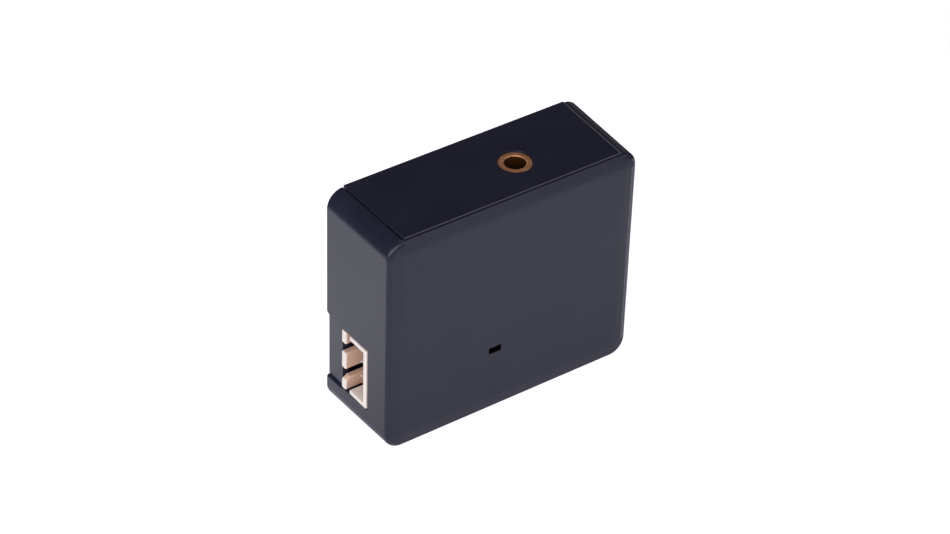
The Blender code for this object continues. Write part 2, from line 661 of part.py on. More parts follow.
def make_plug_header(parts, helpers):
    y_near = depth_to_y(HEADER_DEPTH)
    y_far = depth_to_y(HEADER_FAR_DEPTH)
    back = HEADER_MOUTH + HEADER_REACH
    body = block_shape((HEADER_MOUTH, y_near, HEADER_LOW), (back, y_far, HEADER_HIGH))
    mouth = [e for e in body.edges if all(v.co.x < HEADER_MOUTH + TOLERANCE for v in e.verts)]
    round_edges(body, mouth, HEADER_EDGE, 2)
    header = object_from("plug_header", body, parts)
    foot = block_shape(
        (CASE_LEFT + SIDE_WALL + 2 * SEAT_GAP, depth_to_y(ON_BOARD_DEPTH), HEADER_LOW),
        (back, y_near + HEADER_NEAR_WALL / 2, HEADER_HIGH),
    )
    join(header, "header_foot", foot, helpers)

    inner_near = y_near + HEADER_NEAR_WALL
    inner_far = y_far - HEADER_FAR_WALL
    socket = block_shape(
        (HEADER_MOUTH - CUT_MARGIN, inner_near, HEADER_LOW + HEADER_END_WALL),
        (back - HEADER_BACK_WALL, inner_far, HEADER_HIGH - HEADER_END_WALL),
    )
    cut(header, "header_socket", socket, helpers)

    for number, side in enumerate((-1, 1), start=1):
        middle = HEADER_MIDDLE + side * KEY_SLOT_SPACING / 2
        key_slot = block_shape(
            (HEADER_MOUTH - CUT_MARGIN, inner_far - CUT_MARGIN, middle - KEY_SLOT_WIDTH / 2),
            (HEADER_MOUTH + KEY_SLOT_LENGTH, y_far + CUT_MARGIN, middle + KEY_SLOT_WIDTH / 2),
        )
        cut(header, f"header_key_slot_{number}", key_slot, helpers)
        end = HEADER_MIDDLE + side * (HEADER_LENGTH - HEADER_END_WALL) / 2
        end_slot = block_shape(
            (HEADER_MOUTH - CUT_MARGIN, inner_far - END_SLOT_WIDTH, end - HEADER_END_WALL),
            (HEADER_MOUTH + END_SLOT_LENGTH, inner_far, end + HEADER_END_WALL),
        )
        cut(header, f"header_end_slot_{number}", end_slot, helpers)

    lead_in_top = HEADER_MIDDLE - KEY_SLOT_SPACING / 2 - KEY_SLOT_WIDTH / 2
    lead_in = block_shape(
        (HEADER_MOUTH - LEAD_IN_LENGTH, inner_far - CUT_MARGIN, lead_in_top - LEAD_IN_HEIGHT),
        (HEADER_MOUTH + LEAD_IN_LENGTH, y_far + CUT_MARGIN, lead_in_top + LEAD_IN_HEIGHT),
    )
    for vertex in lead_in.verts:
        if vertex.co.x > HEADER_MOUTH and vertex.co.z < lead_in_top:
            vertex.co.z = lead_in_top
    for vertex in lead_in.verts:
        if vertex.co.x < HEADER_MOUTH and vertex.co.z < lead_in_top:
            vertex.co.z -= LEAD_IN_HEIGHT
    cut(header, "header_lead_in", lead_in, helpers)

    half = PIN_SIDE / 2 + PIN_CLEARANCE
    for number, height in enumerate(pin_heights(), start=1):
        pin_y = depth_to_y(PIN_ROW_DEPTH)
        hole = block_shape(
            (back - HEADER_BACK_WALL - CUT_MARGIN, pin_y - half, height - half),
            (back + CUT_MARGIN, pin_y + half, height + half),
        )
        cut(header, f"header_pin_hole_{number}", hole, helpers)
    return finish(header, new_material("header_nylon", (0.84, 0.72, 0.62), 0.5))


def make_header_pins(parts):
    """Square pins bent once: along the socket, then down through the board."""
    tin = new_material("pin_tin", (0.80, 0.78, 0.74), 0.25, 1.0)
    tip = HEADER_MOUTH + PIN_TIP_INSIDE
    tail = HEADER_MOUTH + HEADER_REACH + PIN_TAIL_BEHIND
    row = depth_to_y(PIN_ROW_DEPTH)
    end = depth_to_y(BOARD_FRONT_DEPTH) - PIN_BELOW_BOARD
    half = PIN_SIDE / 2
    outline = [
        (tip, row - half),
        (tail, row - half),
        (tail, end),
        (tail + PIN_SIDE, end),
        (tail + PIN_SIDE, row + half),
        (tip, row + half),
    ]
    for number, height in enumerate(pin_heights(), start=1):
        shape = bmesh.new()
        corners = [shape.verts.new((x, y, -half)) for x, y in outline]
        face = shape.faces.new(corners)
        raised = bmesh.ops.extrude_face_region(shape, geom=[face])["geom"]
        lifted = [v for v in raised if isinstance(v, bmesh.types.BMVert)]
        bmesh.ops.translate(shape, verts=lifted, vec=(0.0, 0.0, PIN_SIDE))
        finish(object_from(f"header_pin_{number}", shape, parts, (0.0, 0.0, height)), tin)


def make_jack_barrel(parts, jack):
    """Turned barrel: a little proud of the panel, with a stub that locates it in the housing below."""
    bore = JACK_BORE / 2
    outer = BARREL_DIAMETER / 2
    low = -BARREL_LENGTH - BARREL_STUB_LENGTH
    profile = [
        (bore + BARREL_CHAMFER, 0.0),
        (outer - BARREL_CHAMFER, 0.0),
        (outer, -BARREL_CHAMFER),
        (outer, -BARREL_LENGTH),
        (STUB_RADIUS, -BARREL_LENGTH),
        (STUB_RADIUS, low),
        (bore, low),
        (bore, -BARREL_CHAMFER),
    ]
    barrel = turned_object("jack_barrel", profile, parts, (0.0, 0.0, 0.0), jack)
    return finish(barrel, new_material("jack_brass", (0.60, 0.36, 0.16), 0.3, 1.0))


def make_jack_housing(parts, helpers):
    y_low = depth_to_y(ON_BOARD_DEPTH)
    housing = object_from(
        "jack_housing",
        block_shape(
            (JACK_X - JACK_BODY_WIDTH / 2, y_low, JACK_BODY_LOW),
            (JACK_X + JACK_BODY_WIDTH / 2, y_low + JACK_BODY_THICKNESS, JACK_BODY_TOP),
        ),
        parts,
    )
    axis_y = depth_to_y(JACK_DEPTH)
    stub_end = JACK_TOP - BARREL_LENGTH - BARREL_STUB_LENGTH - SEAT_GAP
    plug_end = JACK_TOP - PLUG_LENGTH - PLUG_END_ROOM
    seat_top = JACK_BODY_TOP + CUT_MARGIN
    seat = cylinder_shape(STUB_ROOM_RADIUS, (JACK_X, axis_y, stub_end), (JACK_X, axis_y, seat_top))
    cut(housing, "housing_barrel_seat", seat, helpers)
    channel_top = stub_end + CUT_MARGIN
    channel = cylinder_shape(JACK_BORE / 2, (JACK_X, axis_y, plug_end), (JACK_X, axis_y, channel_top))
    cut(housing, "housing_plug_channel", channel, helpers)

    half_slot = LEAF_WIDTH / 2 + LEAF_SIDE_ROOM
    outside = JACK_BODY_WIDTH / 2 + CUT_MARGIN
    leg_half = LEAF_LEG_HEIGHT / 2 + LEAF_END_ROOM
    leaf_half = LEAF_THICKNESS / 2 + LEAF_SIDE_ROOM
    for name, side, root, down in leaf_places():
        free_end = root + down * (LEAF_LENGTH + LEAF_END_ROOM)
        slot = block_shape(
            (min(side * outside, 0.0) + JACK_X, axis_y - half_slot, min(root - down * leg_half, free_end)),
            (max(side * outside, 0.0) + JACK_X, axis_y + half_slot, max(root - down * leg_half, free_end)),
        )
        cut(housing, f"housing_{name}_slot", slot, helpers)
        leg_middle = JACK_X + side * LEAF_OFFSET
        leg_slot = block_shape(
            (min(leg_middle - leaf_half, JACK_X + side * outside), y_low - CUT_MARGIN, root - leg_half),
            (max(leg_middle + leaf_half, JACK_X + side * outside), axis_y, root + leg_half),
        )
        cut(housing, f"housing_{name}_leg_slot", leg_slot, helpers)
    return finish(housing, new_material("jack_housing_black", (0.020, 0.020, 0.022), 0.45))


def leaf_places():
    """Name, side of the bore, height of the root and the way from there to the free end, for both leaves."""
    return [
        ("jack_tip_contact", -1, JACK_TOP - TIP_LEAF_ROOT_DROP, -1),
        ("jack_ring_contact", 1, JACK_TOP - RING_LEAF_ROOT_DROP, 1),
    ]


def widen(shape, edges, reach):
    """Extrudes edges along Y into a strip."""
    made = bmesh.ops.extrude_edge_only(shape, edges=edges)["geom"]
    moved = [v for v in made if isinstance(v, bmesh.types.BMVert)]
    bmesh.ops.translate(shape, verts=moved, vec=(0.0, reach, 0.0))


def make_jack_leaves(parts):
    """Sprung strips bent into the bore. Each turns about its root, where its leg runs to the board."""
    bronze = new_material("leaf_bronze", (0.70, 0.48, 0.24), 0.3, 1.0)
    line = [
        (0.0, -LEAF_LEG_HEIGHT / 2),
        (0.0, LEAF_LEG_HEIGHT / 2),
        (0.0, LEAF_BEND_PLACE - LEAF_BEND_HALF),
        (LEAF_BEND_REACH, LEAF_BEND_PLACE),
        (0.0, LEAF_BEND_PLACE + LEAF_BEND_HALF),
        (0.0, LEAF_LENGTH),
    ]
    leg_reach = JACK_DEPTH - ON_BOARD_DEPTH - LEAF_WIDTH / 2
    for name, side, root, down in leaf_places():
        shape = bmesh.new()
        points = [shape.verts.new((-side * inward, -LEAF_WIDTH / 2, down * along)) for inward, along in line]
        edges = [shape.edges.new(pair) for pair in zip(points, points[1:])]
        widen(shape, edges, LEAF_WIDTH)
        widen(shape, edges[:1], -leg_reach)
        hinge = (JACK_X + side * LEAF_OFFSET, depth_to_y(JACK_DEPTH), root)
        leaf = object_from(name, shape, parts, hinge)
        thicken = leaf.modifiers.new("thickness", "SOLIDIFY")
        thicken.thickness = LEAF_THICKNESS
        thicken.offset = 0.0
        finish(leaf, bronze)


def make_sleeve_terminal(parts, helpers):
    """Flat plate clamped under the barrel's shoulder, with a leg bent down to the board."""
    high = BOARD_HIGH
    low = high - PLATE_THICKNESS
    half = JACK_BODY_WIDTH / 2 - PLATE_MARGIN
    y_low = depth_to_y(ON_BOARD_DEPTH)
    y_high = y_low + JACK_BODY_THICKNESS - PLATE_MARGIN
    plate = object_from(
        "jack_sleeve_terminal",
        block_shape((JACK_X - half, y_low, low), (JACK_X + half, y_high, high)),
        parts,
    )
    axis_y = depth_to_y(JACK_DEPTH)
    hole_low = (JACK_X, axis_y, low - CUT_MARGIN)
    hole_high = (JACK_X, axis_y, high + CUT_MARGIN)
    hole = cylinder_shape(STUB_ROOM_RADIUS, hole_low, hole_high)
    cut(plate, "sleeve_terminal_hole", hole, helpers)
    leg_right = JACK_X + JACK_BODY_WIDTH / 2 + SEAT_GAP + PLATE_THICKNESS
    leg = block_shape(
        (leg_right - PLATE_THICKNESS, y_low, low - PLATE_LEG_DROP),
        (leg_right, y_low + PLATE_LEG_WIDTH, high),
    )
    join(plate, "sleeve_terminal_leg", leg, helpers)
    arm_left = JACK_X + half - PLATE_THICKNESS
    arm = block_shape((arm_left, y_low, low), (leg_right, y_low + PLATE_LEG_WIDTH, high))
    join(plate, "sleeve_terminal_arm", arm, helpers)
    return finish(plate, new_material("terminal_tin", (0.72, 0.70, 0.66), 0.3, 1.0))


def make_wireless_module(parts, helpers):
    left = BOARD_LEFT + MODULE_FROM_BOARD_SIDE
    high = BOARD_HIGH - MODULE_FROM_BOARD_TOP
    y_low = depth_to_y(ON_BOARD_DEPTH)
    y_high = y_low + MODULE_THICKNESS
    board = object_from(
        "wireless_module_board",
        block_shape((left, y_low, high - MODULE_HEIGHT), (left + MODULE_WIDTH, y_high, high)),
        parts,
    )
    finish(board, new_material("module_board_blue", (0.015, 0.035, 0.110), 0.4))

    can_low = Vector((left + CAN_MARGIN, y_high + SEAT_GAP, high - MODULE_HEIGHT + CAN_MARGIN))
    can_high = can_low + Vector((MODULE_WIDTH - 2 * CAN_MARGIN, CAN_DEPTH, CAN_HEIGHT))
    can_block = rounded_block_shape(can_low, can_high, 1, CAN_EDGE, EDGE_SEGMENTS)
    can = object_from("module_shield_can", can_block, parts)
    wall = Vector((CAN_WALL, CAN_WALL, CAN_WALL))
    inside_low = can_low + wall
    inside_low.y = can_low.y - CUT_MARGIN
    cut(can, "can_inside", block_shape(inside_low, can_high - wall), helpers)
    finish(can, new_material("can_nickel_silver", (0.62, 0.61, 0.58), 0.35, 1.0))


def make_flat_chip(name, centre, size, material, parts):
    """A chip of (across, thickness, height) that lies on the board's back, its upper edges eased."""
    across, thickness, height = size
    y_low = depth_to_y(ON_BOARD_DEPTH)
    low = (centre[0] - across / 2, y_low, centre[1] - height / 2)
    high = (centre[0] + across / 2, y_low + thickness, centre[1] + height / 2)
    shape = block_shape(low, high)
    upper = [e for e in shape.edges if all(v.co.y > y_low + thickness / 2 for v in e.verts)]
    round_edges(shape, upper, CHIP_EDGE, 1)
    finish(object_from(name, shape, parts), material)


def make_chips(parts):
    black = new_material("chip_black", (0.018, 0.018, 0.020), 0.5)
    module_right = BOARD_LEFT + MODULE_FROM_BOARD_SIDE + MODULE_WIDTH
    module_low = BOARD_HIGH - MODULE_FROM_BOARD_TOP - MODULE_HEIGHT
    chip_place = (module_right - CHIP_SIDE / 2, module_low - CHIP_BELOW_MODULE - CHIP_SIDE / 2)
    make_flat_chip("audio_chip", chip_place, (CHIP_SIDE, CHIP_THICKNESS, CHIP_SIDE), black, parts)
    regulator_place = (
        BOARD_LEFT + REGULATOR_FROM_BOARD_SIDE,
        HEADER_HIGH + REGULATOR_ABOVE_HEADER,
    )
    regulator_size = (REGULATOR_WIDTH, REGULATOR_THICKNESS, REGULATOR_HEIGHT)
    make_flat_chip("voltage_regulator", regulator_place, regulator_size, black, parts)


def capacitor_places():
    """Two rows of two, in the board's lower right, above the post."""
    right = BOARD_RIGHT - CAPACITOR_FROM_BOARD_SIDE
    low = BOARD_LOW + POST_FROM_BOARD_EDGE + POST_RADIUS + CAPACITOR_BASE_SIDE / 2 + SEAT_GAP
    columns = (right, right - CAPACITOR_PITCH)
    rows = (low, low + CAPACITOR_PITCH)
    return [(across, height) for height in rows for across in columns]


def make_capacitors(parts):
    aluminium = new_material("capacitor_aluminium", (0.70, 0.70, 0.71), 0.3, 1.0)
    black = new_material("capacitor_base_black", (0.020, 0.020, 0.020), 0.55)
    half = CAPACITOR_BASE_SIDE / 2
    y_low = depth_to_y(ON_BOARD_DEPTH)
    can_low = y_low + CAPACITOR_BASE_THICKNESS + SEAT_GAP
    radius = CAPACITOR_DIAMETER / 2
    profile = [
        (0.0, CAPACITOR_LENGTH),
        (radius - CAPACITOR_CAN_EDGE, CAPACITOR_LENGTH),
        (radius, CAPACITOR_LENGTH - CAPACITOR_CAN_EDGE),
        (radius, CRIMP_HEIGHT + CRIMP_HALF),
        (radius - CRIMP_DEPTH, CRIMP_HEIGHT),
        (radius, CRIMP_HEIGHT - CRIMP_HALF),
        (radius, 0.0),
        (0.0, 0.0),
    ]
    for number, (across, height) in enumerate(capacitor_places(), start=1):
        low = (across - half, y_low, height - half)
        high = (across + half, y_low + CAPACITOR_BASE_THICKNESS, height + half)
        base = rounded_block_shape(low, high, 1, CAPACITOR_BASE_CORNER, 1)
        finish(object_from(f"capacitor_base_{number}", base, parts), black)
        can = turned_object(f"capacitor_can_{number}", profile, parts, (across, can_low, height))
        can.rotation_euler = (math.radians(-90.0), 0.0, 0.0)
        finish(can, aluminium)


def make_status_light(parts):
    across = CASE_LEFT + SLOT_ACROSS
    y_high = depth_to_y(BOARD_FRONT_DEPTH - SEAT_GAP)
    shape = block_shape(
        (across - LIGHT_WIDTH / 2, y_high - LIGHT_THICKNESS, SLOT_ABOVE_BASE - LIGHT_HEIGHT / 2),
        (across + LIGHT_WIDTH / 2, y_high, SLOT_ABOVE_BASE + LIGHT_HEIGHT / 2),
    )
    front = [e for e in shape.edges if all(v.co.y < y_high - LIGHT_THICKNESS / 2 for v in e.verts)]
    round_edges(shape, front, LIGHT_EDGE, 1)
    finish(object_from("status_light", shape, parts), new_material("light_clear", (0.75, 0.76, 0.70), 0.2))


def main():
    clear_scene()
    parts = new_collection("wireless_audio_receiver")
    helpers = new_collection("cutters_and_joiners")
    jack = bpy.data.objects.new("jack_axis", None)
    jack.location = (JACK_X, depth_to_y(JACK_DEPTH), JACK_TOP)
    parts.objects.link(jack)

    make_front_shell(parts, helpers)
    make_rear_cover(parts, helpers)
    make_circuit_board(parts, helpers)
    make_board_screws(parts)
    make_plug_header(parts, helpers)
    make_header_pins(parts)
    make_jack_barrel(parts, jack)
    make_jack_housing(parts, helpers)
    make_jack_leaves(parts)
    make_sleeve_terminal(parts, helpers)
    make_wireless_module(parts, helpers)
    make_chips(parts)
    make_capacitors(parts)
    make_status_light(parts)


main()
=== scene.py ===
# %% [markdown]
# # A small wireless audio receiver
# The real object is a dark moulded box, 50 mm wide, that stands on one of its long edges. A copper-toned
# audio jack shows in its top, and a cream plug header shows in its left side. This lesson loads the packed
# model of the box as a fixed frame, replaces the pieces that show with finer ones, and gives every piece
# the finish that it has on the real object.

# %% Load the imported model
import math

import bmesh
import bpy
from mathutils import Matrix, Quaternion, Vector


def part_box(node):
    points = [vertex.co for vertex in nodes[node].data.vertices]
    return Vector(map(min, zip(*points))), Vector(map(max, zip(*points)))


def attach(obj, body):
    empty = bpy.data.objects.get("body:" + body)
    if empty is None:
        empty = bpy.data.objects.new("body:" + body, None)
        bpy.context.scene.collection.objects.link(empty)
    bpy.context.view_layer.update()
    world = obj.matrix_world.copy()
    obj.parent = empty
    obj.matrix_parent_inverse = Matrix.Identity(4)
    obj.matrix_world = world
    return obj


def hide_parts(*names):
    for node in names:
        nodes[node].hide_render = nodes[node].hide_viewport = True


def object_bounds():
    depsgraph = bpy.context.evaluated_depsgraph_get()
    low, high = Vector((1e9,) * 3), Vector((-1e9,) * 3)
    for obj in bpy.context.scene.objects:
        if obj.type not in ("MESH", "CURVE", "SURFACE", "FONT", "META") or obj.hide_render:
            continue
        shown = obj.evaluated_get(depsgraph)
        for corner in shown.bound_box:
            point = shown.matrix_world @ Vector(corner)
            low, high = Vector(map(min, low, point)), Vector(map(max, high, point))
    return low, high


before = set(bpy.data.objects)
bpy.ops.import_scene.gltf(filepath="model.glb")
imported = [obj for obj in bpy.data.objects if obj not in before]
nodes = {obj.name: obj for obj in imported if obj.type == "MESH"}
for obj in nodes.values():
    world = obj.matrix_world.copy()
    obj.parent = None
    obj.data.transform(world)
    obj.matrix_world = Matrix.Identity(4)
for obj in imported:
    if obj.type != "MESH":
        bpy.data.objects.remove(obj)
cad_low, cad_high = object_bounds()
MM = 0.001
print("loaded", len(nodes), "nodes in a box of", [round(side / MM, 2) for side in cad_high - cad_low], "mm")

# %% [markdown]
# ## The camera
# The picture was taken from the front left and from above, with a long lens, so the box hardly tapers
# towards the back. A camera can be dragged into place by eye, but here it stands at a distance from a point
# on the box, at an azimuth and an elevation in degrees, and it leans a little. Those few numbers are easy
# to change, and the lamps are placed in the same way.

# %% Camera
IMAGE_WIDTH = 950
FOCAL_LENGTH_PIXELS = 3274.35
SENSOR_WIDTH = 36.0
CLIP_START = 10 * MM
CLIP_END = 100.0
CAMERA_TARGET = Vector((-0.556, 1.255, 22.510)) * MM
CAMERA_DISTANCE = 551.25 * MM
CAMERA_AZIMUTH = -36.341
CAMERA_ELEVATION = 37.214
CAMERA_ROLL = 1.935


def add_object(name, data):
    """A new object at the origin, in the scene."""
    made = bpy.data.objects.new(name, data)
    bpy.context.scene.collection.objects.link(made)
    return made


def stand_off(thing, target, distance, azimuth, elevation, roll=0.0):
    """Puts a camera or a lamp at a distance from a point, so that it looks at the point."""
    turn = math.radians(azimuth)
    rise = math.radians(elevation)
    flat = math.cos(rise)
    away = Vector((math.sin(turn) * flat, -math.cos(turn) * flat, math.sin(rise)))
    lean = Quaternion((0.0, 0.0, 1.0), math.radians(roll))
    thing.location = target + away * distance
    thing.rotation_mode = "QUATERNION"
    thing.rotation_quaternion = (-away).to_track_quat("-Z", "Y") @ lean


def add_camera():
    data = bpy.data.cameras.new("camera")
    data.sensor_fit = "HORIZONTAL"
    data.sensor_width = SENSOR_WIDTH
    data.lens = FOCAL_LENGTH_PIXELS * SENSOR_WIDTH / IMAGE_WIDTH
    data.clip_start = CLIP_START
    data.clip_end = CLIP_END
    camera = add_object("camera", data)
    stand_off(camera, CAMERA_TARGET, CAMERA_DISTANCE, CAMERA_AZIMUTH, CAMERA_ELEVATION, CAMERA_ROLL)
    bpy.context.scene.camera = camera
    return camera


camera = add_camera()
print("camera with a", round(camera.data.lens, 1), "mm lens at", [round(c, 3) for c in camera.location])

# %% [markdown]
# ## Helpers for shader nodes
# A material is a net of small nodes. They could be drawn by hand in the editor, but short calls are easier
# to read here. Three helpers make the nodes that are needed most: two outputs put together, a value carried
# over from one range to another, and a mix of two values or colours. A fourth tells kinds of rays apart.

# %% Node helpers
# Sockets of a Mix node: its first value, its second value and its result
COLOUR_SOCKETS = (6, 7, 2)
NUMBER_SOCKETS = (2, 3, 0)


def combine(tree, operation, first, second):
    """Two outputs put together by a Math node, such as MAXIMUM or MULTIPLY."""
    made = tree.nodes.new("ShaderNodeMath")
    made.operation = operation
    tree.links.new(first, made.inputs[0])
    tree.links.new(second, made.inputs[1])
    return made.outputs[0]


def map_range(tree, value, start, end, low, high):
    """A value carried over from one range to another, and held at its ends."""
    made = tree.nodes.new("ShaderNodeMapRange")
    for socket, number in (("From Min", start), ("From Max", end), ("To Min", low), ("To Max", high)):
        made.inputs[socket].default_value = number
    tree.links.new(value, made.inputs["Value"])
    return made.outputs["Result"]


def mix(tree, share, first, second, kind="FLOAT"):
    """The first value where the share is 0, the second where it is 1. Each is an output or a number."""
    made = tree.nodes.new("ShaderNodeMix")
    made.data_type = kind
    first_socket, second_socket, result = COLOUR_SOCKETS if kind == "RGBA" else NUMBER_SOCKETS
    tree.links.new(share, made.inputs[0])
    for socket, value in ((first_socket, first), (second_socket, second)):
        if isinstance(value, bpy.types.NodeSocket):
            tree.links.new(value, made.inputs[socket])
        else:
            made.inputs[socket].default_value = value
    return made.outputs[result]


def ray_kinds(tree):
    """One output for camera rays, and one for rays from gloss or through glass."""
    path = tree.nodes.new("ShaderNodeLightPath")
    gloss = combine(tree, "MAXIMUM", path.outputs["Is Glossy Ray"], path.outputs["Is Transmission Ray"])
    return path.outputs["Is Camera Ray"], gloss


print("node helpers ready")

# %% [markdown]
# ## Studio floor
# The box stands on a small white card on a dark table. Its dark plastic shows the card as a soft sheen on
# the upright faces. The card is dimmest at the foot of the box and brightest behind it, which shades the
# sheen from face to face. Its glow shows only to the camera and in reflections, so it adds no light to the
# studio, and the paint under the glow keeps the soft shadow. For the camera the whole table is white.

# %% Paint and glow of the floor
CAMERA_GLOW = 0.86
GLOSS_GLOW_FRONT = 0.54
GLOSS_GLOW_FOOT = 0.26
GLOSS_GLOW_BACK = 0.81
GLOW_FRONT_Y = -36 * MM
GLOW_FOOT_Y = -8.7 * MM
GLOW_BACK_Y = 22 * MM
COOL_WHITE = (0.96, 0.96, 1.08, 1.0)
NEAR_PAINT = (0.8, 0.8, 0.8, 1.0)
FAR_PAINT = (0.1, 0.1, 0.1, 1.0)


def floor_paint(tree, near):
    """Matt paint, pale on the card and dark away from it."""
    paint = tree.nodes.new("ShaderNodeBsdfDiffuse")
    tree.links.new(mix(tree, near, FAR_PAINT, NEAR_PAINT, "RGBA"), paint.inputs["Color"])
    return paint.outputs[0]


def floor_glow(tree, near, depth):
    """White for the camera all over. In reflections only the card glows."""
    seen, gloss = ray_kinds(tree)
    before = map_range(tree, depth, GLOW_FRONT_Y, GLOW_FOOT_Y, GLOSS_GLOW_FRONT, GLOSS_GLOW_FOOT)
    behind = map_range(tree, depth, GLOW_FOOT_Y, GLOW_BACK_Y, GLOSS_GLOW_FOOT, GLOSS_GLOW_BACK)
    card = combine(tree, "MULTIPLY", near, combine(tree, "MAXIMUM", before, behind))
    in_gloss = combine(tree, "MULTIPLY", gloss, card)
    for_camera = map_range(tree, near, 0.0, 1.0, 1.0, CAMERA_GLOW)
    glow = tree.nodes.new("ShaderNodeEmission")
    glow.inputs["Color"].default_value = COOL_WHITE
    tree.links.new(mix(tree, seen, in_gloss, for_camera), glow.inputs["Strength"])
    return glow.outputs[0]


print("in reflections the card glows from", GLOSS_GLOW_FOOT, "to", GLOSS_GLOW_BACK)

# %% Floor
FLOOR_HALF_SIZE = 6.0
FADE_START = 80 * MM
FADE_END = 140 * MM


def white_card():
    material = bpy.data.materials.new("white_card")
    material.use_nodes = True
    tree = material.node_tree
    tree.nodes.clear()
    place = tree.nodes.new("ShaderNodeTexCoord").outputs["Object"]
    distance = tree.nodes.new("ShaderNodeVectorMath")
    distance.operation = "LENGTH"
    tree.links.new(place, distance.inputs[0])
    near = map_range(tree, distance.outputs["Value"], FADE_START, FADE_END, 1.0, 0.0)
    axes = tree.nodes.new("ShaderNodeSeparateXYZ")
    tree.links.new(place, axes.inputs[0])
    both = tree.nodes.new("ShaderNodeAddShader")
    tree.links.new(floor_paint(tree, near), both.inputs[0])
    tree.links.new(floor_glow(tree, near, axes.outputs["Y"]), both.inputs[1])
    output = tree.nodes.new("ShaderNodeOutputMaterial")
    tree.links.new(both.outputs[0], output.inputs["Surface"])
    return material


def add_floor():
    shape = bmesh.new()
    bmesh.ops.create_grid(shape, x_segments=1, y_segments=1, size=FLOOR_HALF_SIZE)
    mesh = bpy.data.meshes.new("floor")
    shape.to_mesh(mesh)
    shape.free()
    mesh.materials.append(white_card())
    floor = add_object("floor", mesh)


add_floor()
print("white floor", 2 * FLOOR_HALF_SIZE, "m wide")

# %% [markdown]
# ## Studio world
# The top of the box reflects the ceiling, which is dark, so the top stays nearly black. A ceiling could be
# built, but one world does the same: it is pale for the camera, dark in reflections, and for everything
# else it is one even level of soft light, so that no corner of the box turns quite black.

# %% World
AMBIENT_LEVEL = 0.15
CEILING_LEVEL = 0.06
BACKDROP_LEVEL = 1.0


def set_world():
    world = bpy.data.worlds.new("studio")
    bpy.context.scene.world = world
    world.use_nodes = True
    tree = world.node_tree
    tree.nodes.clear()
    seen, gloss = ray_kinds(tree)
    unseen_level = mix(tree, gloss, AMBIENT_LEVEL, CEILING_LEVEL)
    background = tree.nodes.new("ShaderNodeBackground")
    tree.links.new(mix(tree, seen, unseen_level, BACKDROP_LEVEL), background.inputs["Strength"])
    output = tree.nodes.new("ShaderNodeOutputWorld")
    tree.links.new(background.outputs[0], output.inputs["Surface"])


set_world()
bpy.context.scene.view_settings.view_transform = "Standard"
print("ambient level", AMBIENT_LEVEL, "and ceiling level", CEILING_LEVEL)

# %% [markdown]
# ## Lamps
# A large softbox stands beside the camera, with a weaker one in front on the right and one on the left. A
# dim card and a small softbox stand at the back. Each lamp shows as a soft line in the box's rounded edges.
# A lamp's power grows with its area and brightness, so the helper takes the brightness that a reflection
# of the lamp would show, where 1 is white, and works the power out from it.

# %% Lamps
LAMP_DISTANCE = 0.6
LAMPS = {
    # name: azimuth and elevation in degrees, brightness, width and height in metres
    "camera_softbox": (-35.0, 30.0, 2.6, 0.60, 0.45),
    "front_softbox": (35.0, 25.0, 1.0, 0.60, 0.50),
    "left_softbox": (-80.0, 5.0, 3.0, 0.50, 0.55),
    "back_card": (130.0, 6.0, 0.25, 0.50, 0.25),
    "back_softbox": (178.0, 14.0, 1.1, 0.50, 0.35),
}


def add_lamp(name, azimuth, elevation, brightness, width, height):
    data = bpy.data.lights.new(name, "AREA")
    data.shape = "RECTANGLE"
    data.size = width
    data.size_y = height
    data.energy = brightness * math.pi * width * height
    lamp = add_object(name, data)
    stand_off(lamp, (cad_low + cad_high) / 2, LAMP_DISTANCE, azimuth, elevation)
    lamp.visible_camera = False
    print(name, "with", round(data.energy, 2), "W")


for lamp_name, lamp_values in LAMPS.items():
    add_lamp(lamp_name, *lamp_values)

# %% [markdown]
# ## Helpers for finishes
# Every finish here follows one recipe: noise read from Object coordinates shades the colour a little,
# spreads the roughness and lifts the surface. Object coordinates are metres on these pieces, so a noise
# whose features are 0.2 mm wide has a scale of 1 / 0.0002. A value that is the same all over is set on the
# shader itself. Where some faces of a piece get a colour of their own, an attribute marks them; on these
# pieces such colours are painted highlights, painted light and painted shade.

# %% Finish helpers
NOISE_LOW = 0.3
NOISE_HIGH = 0.7


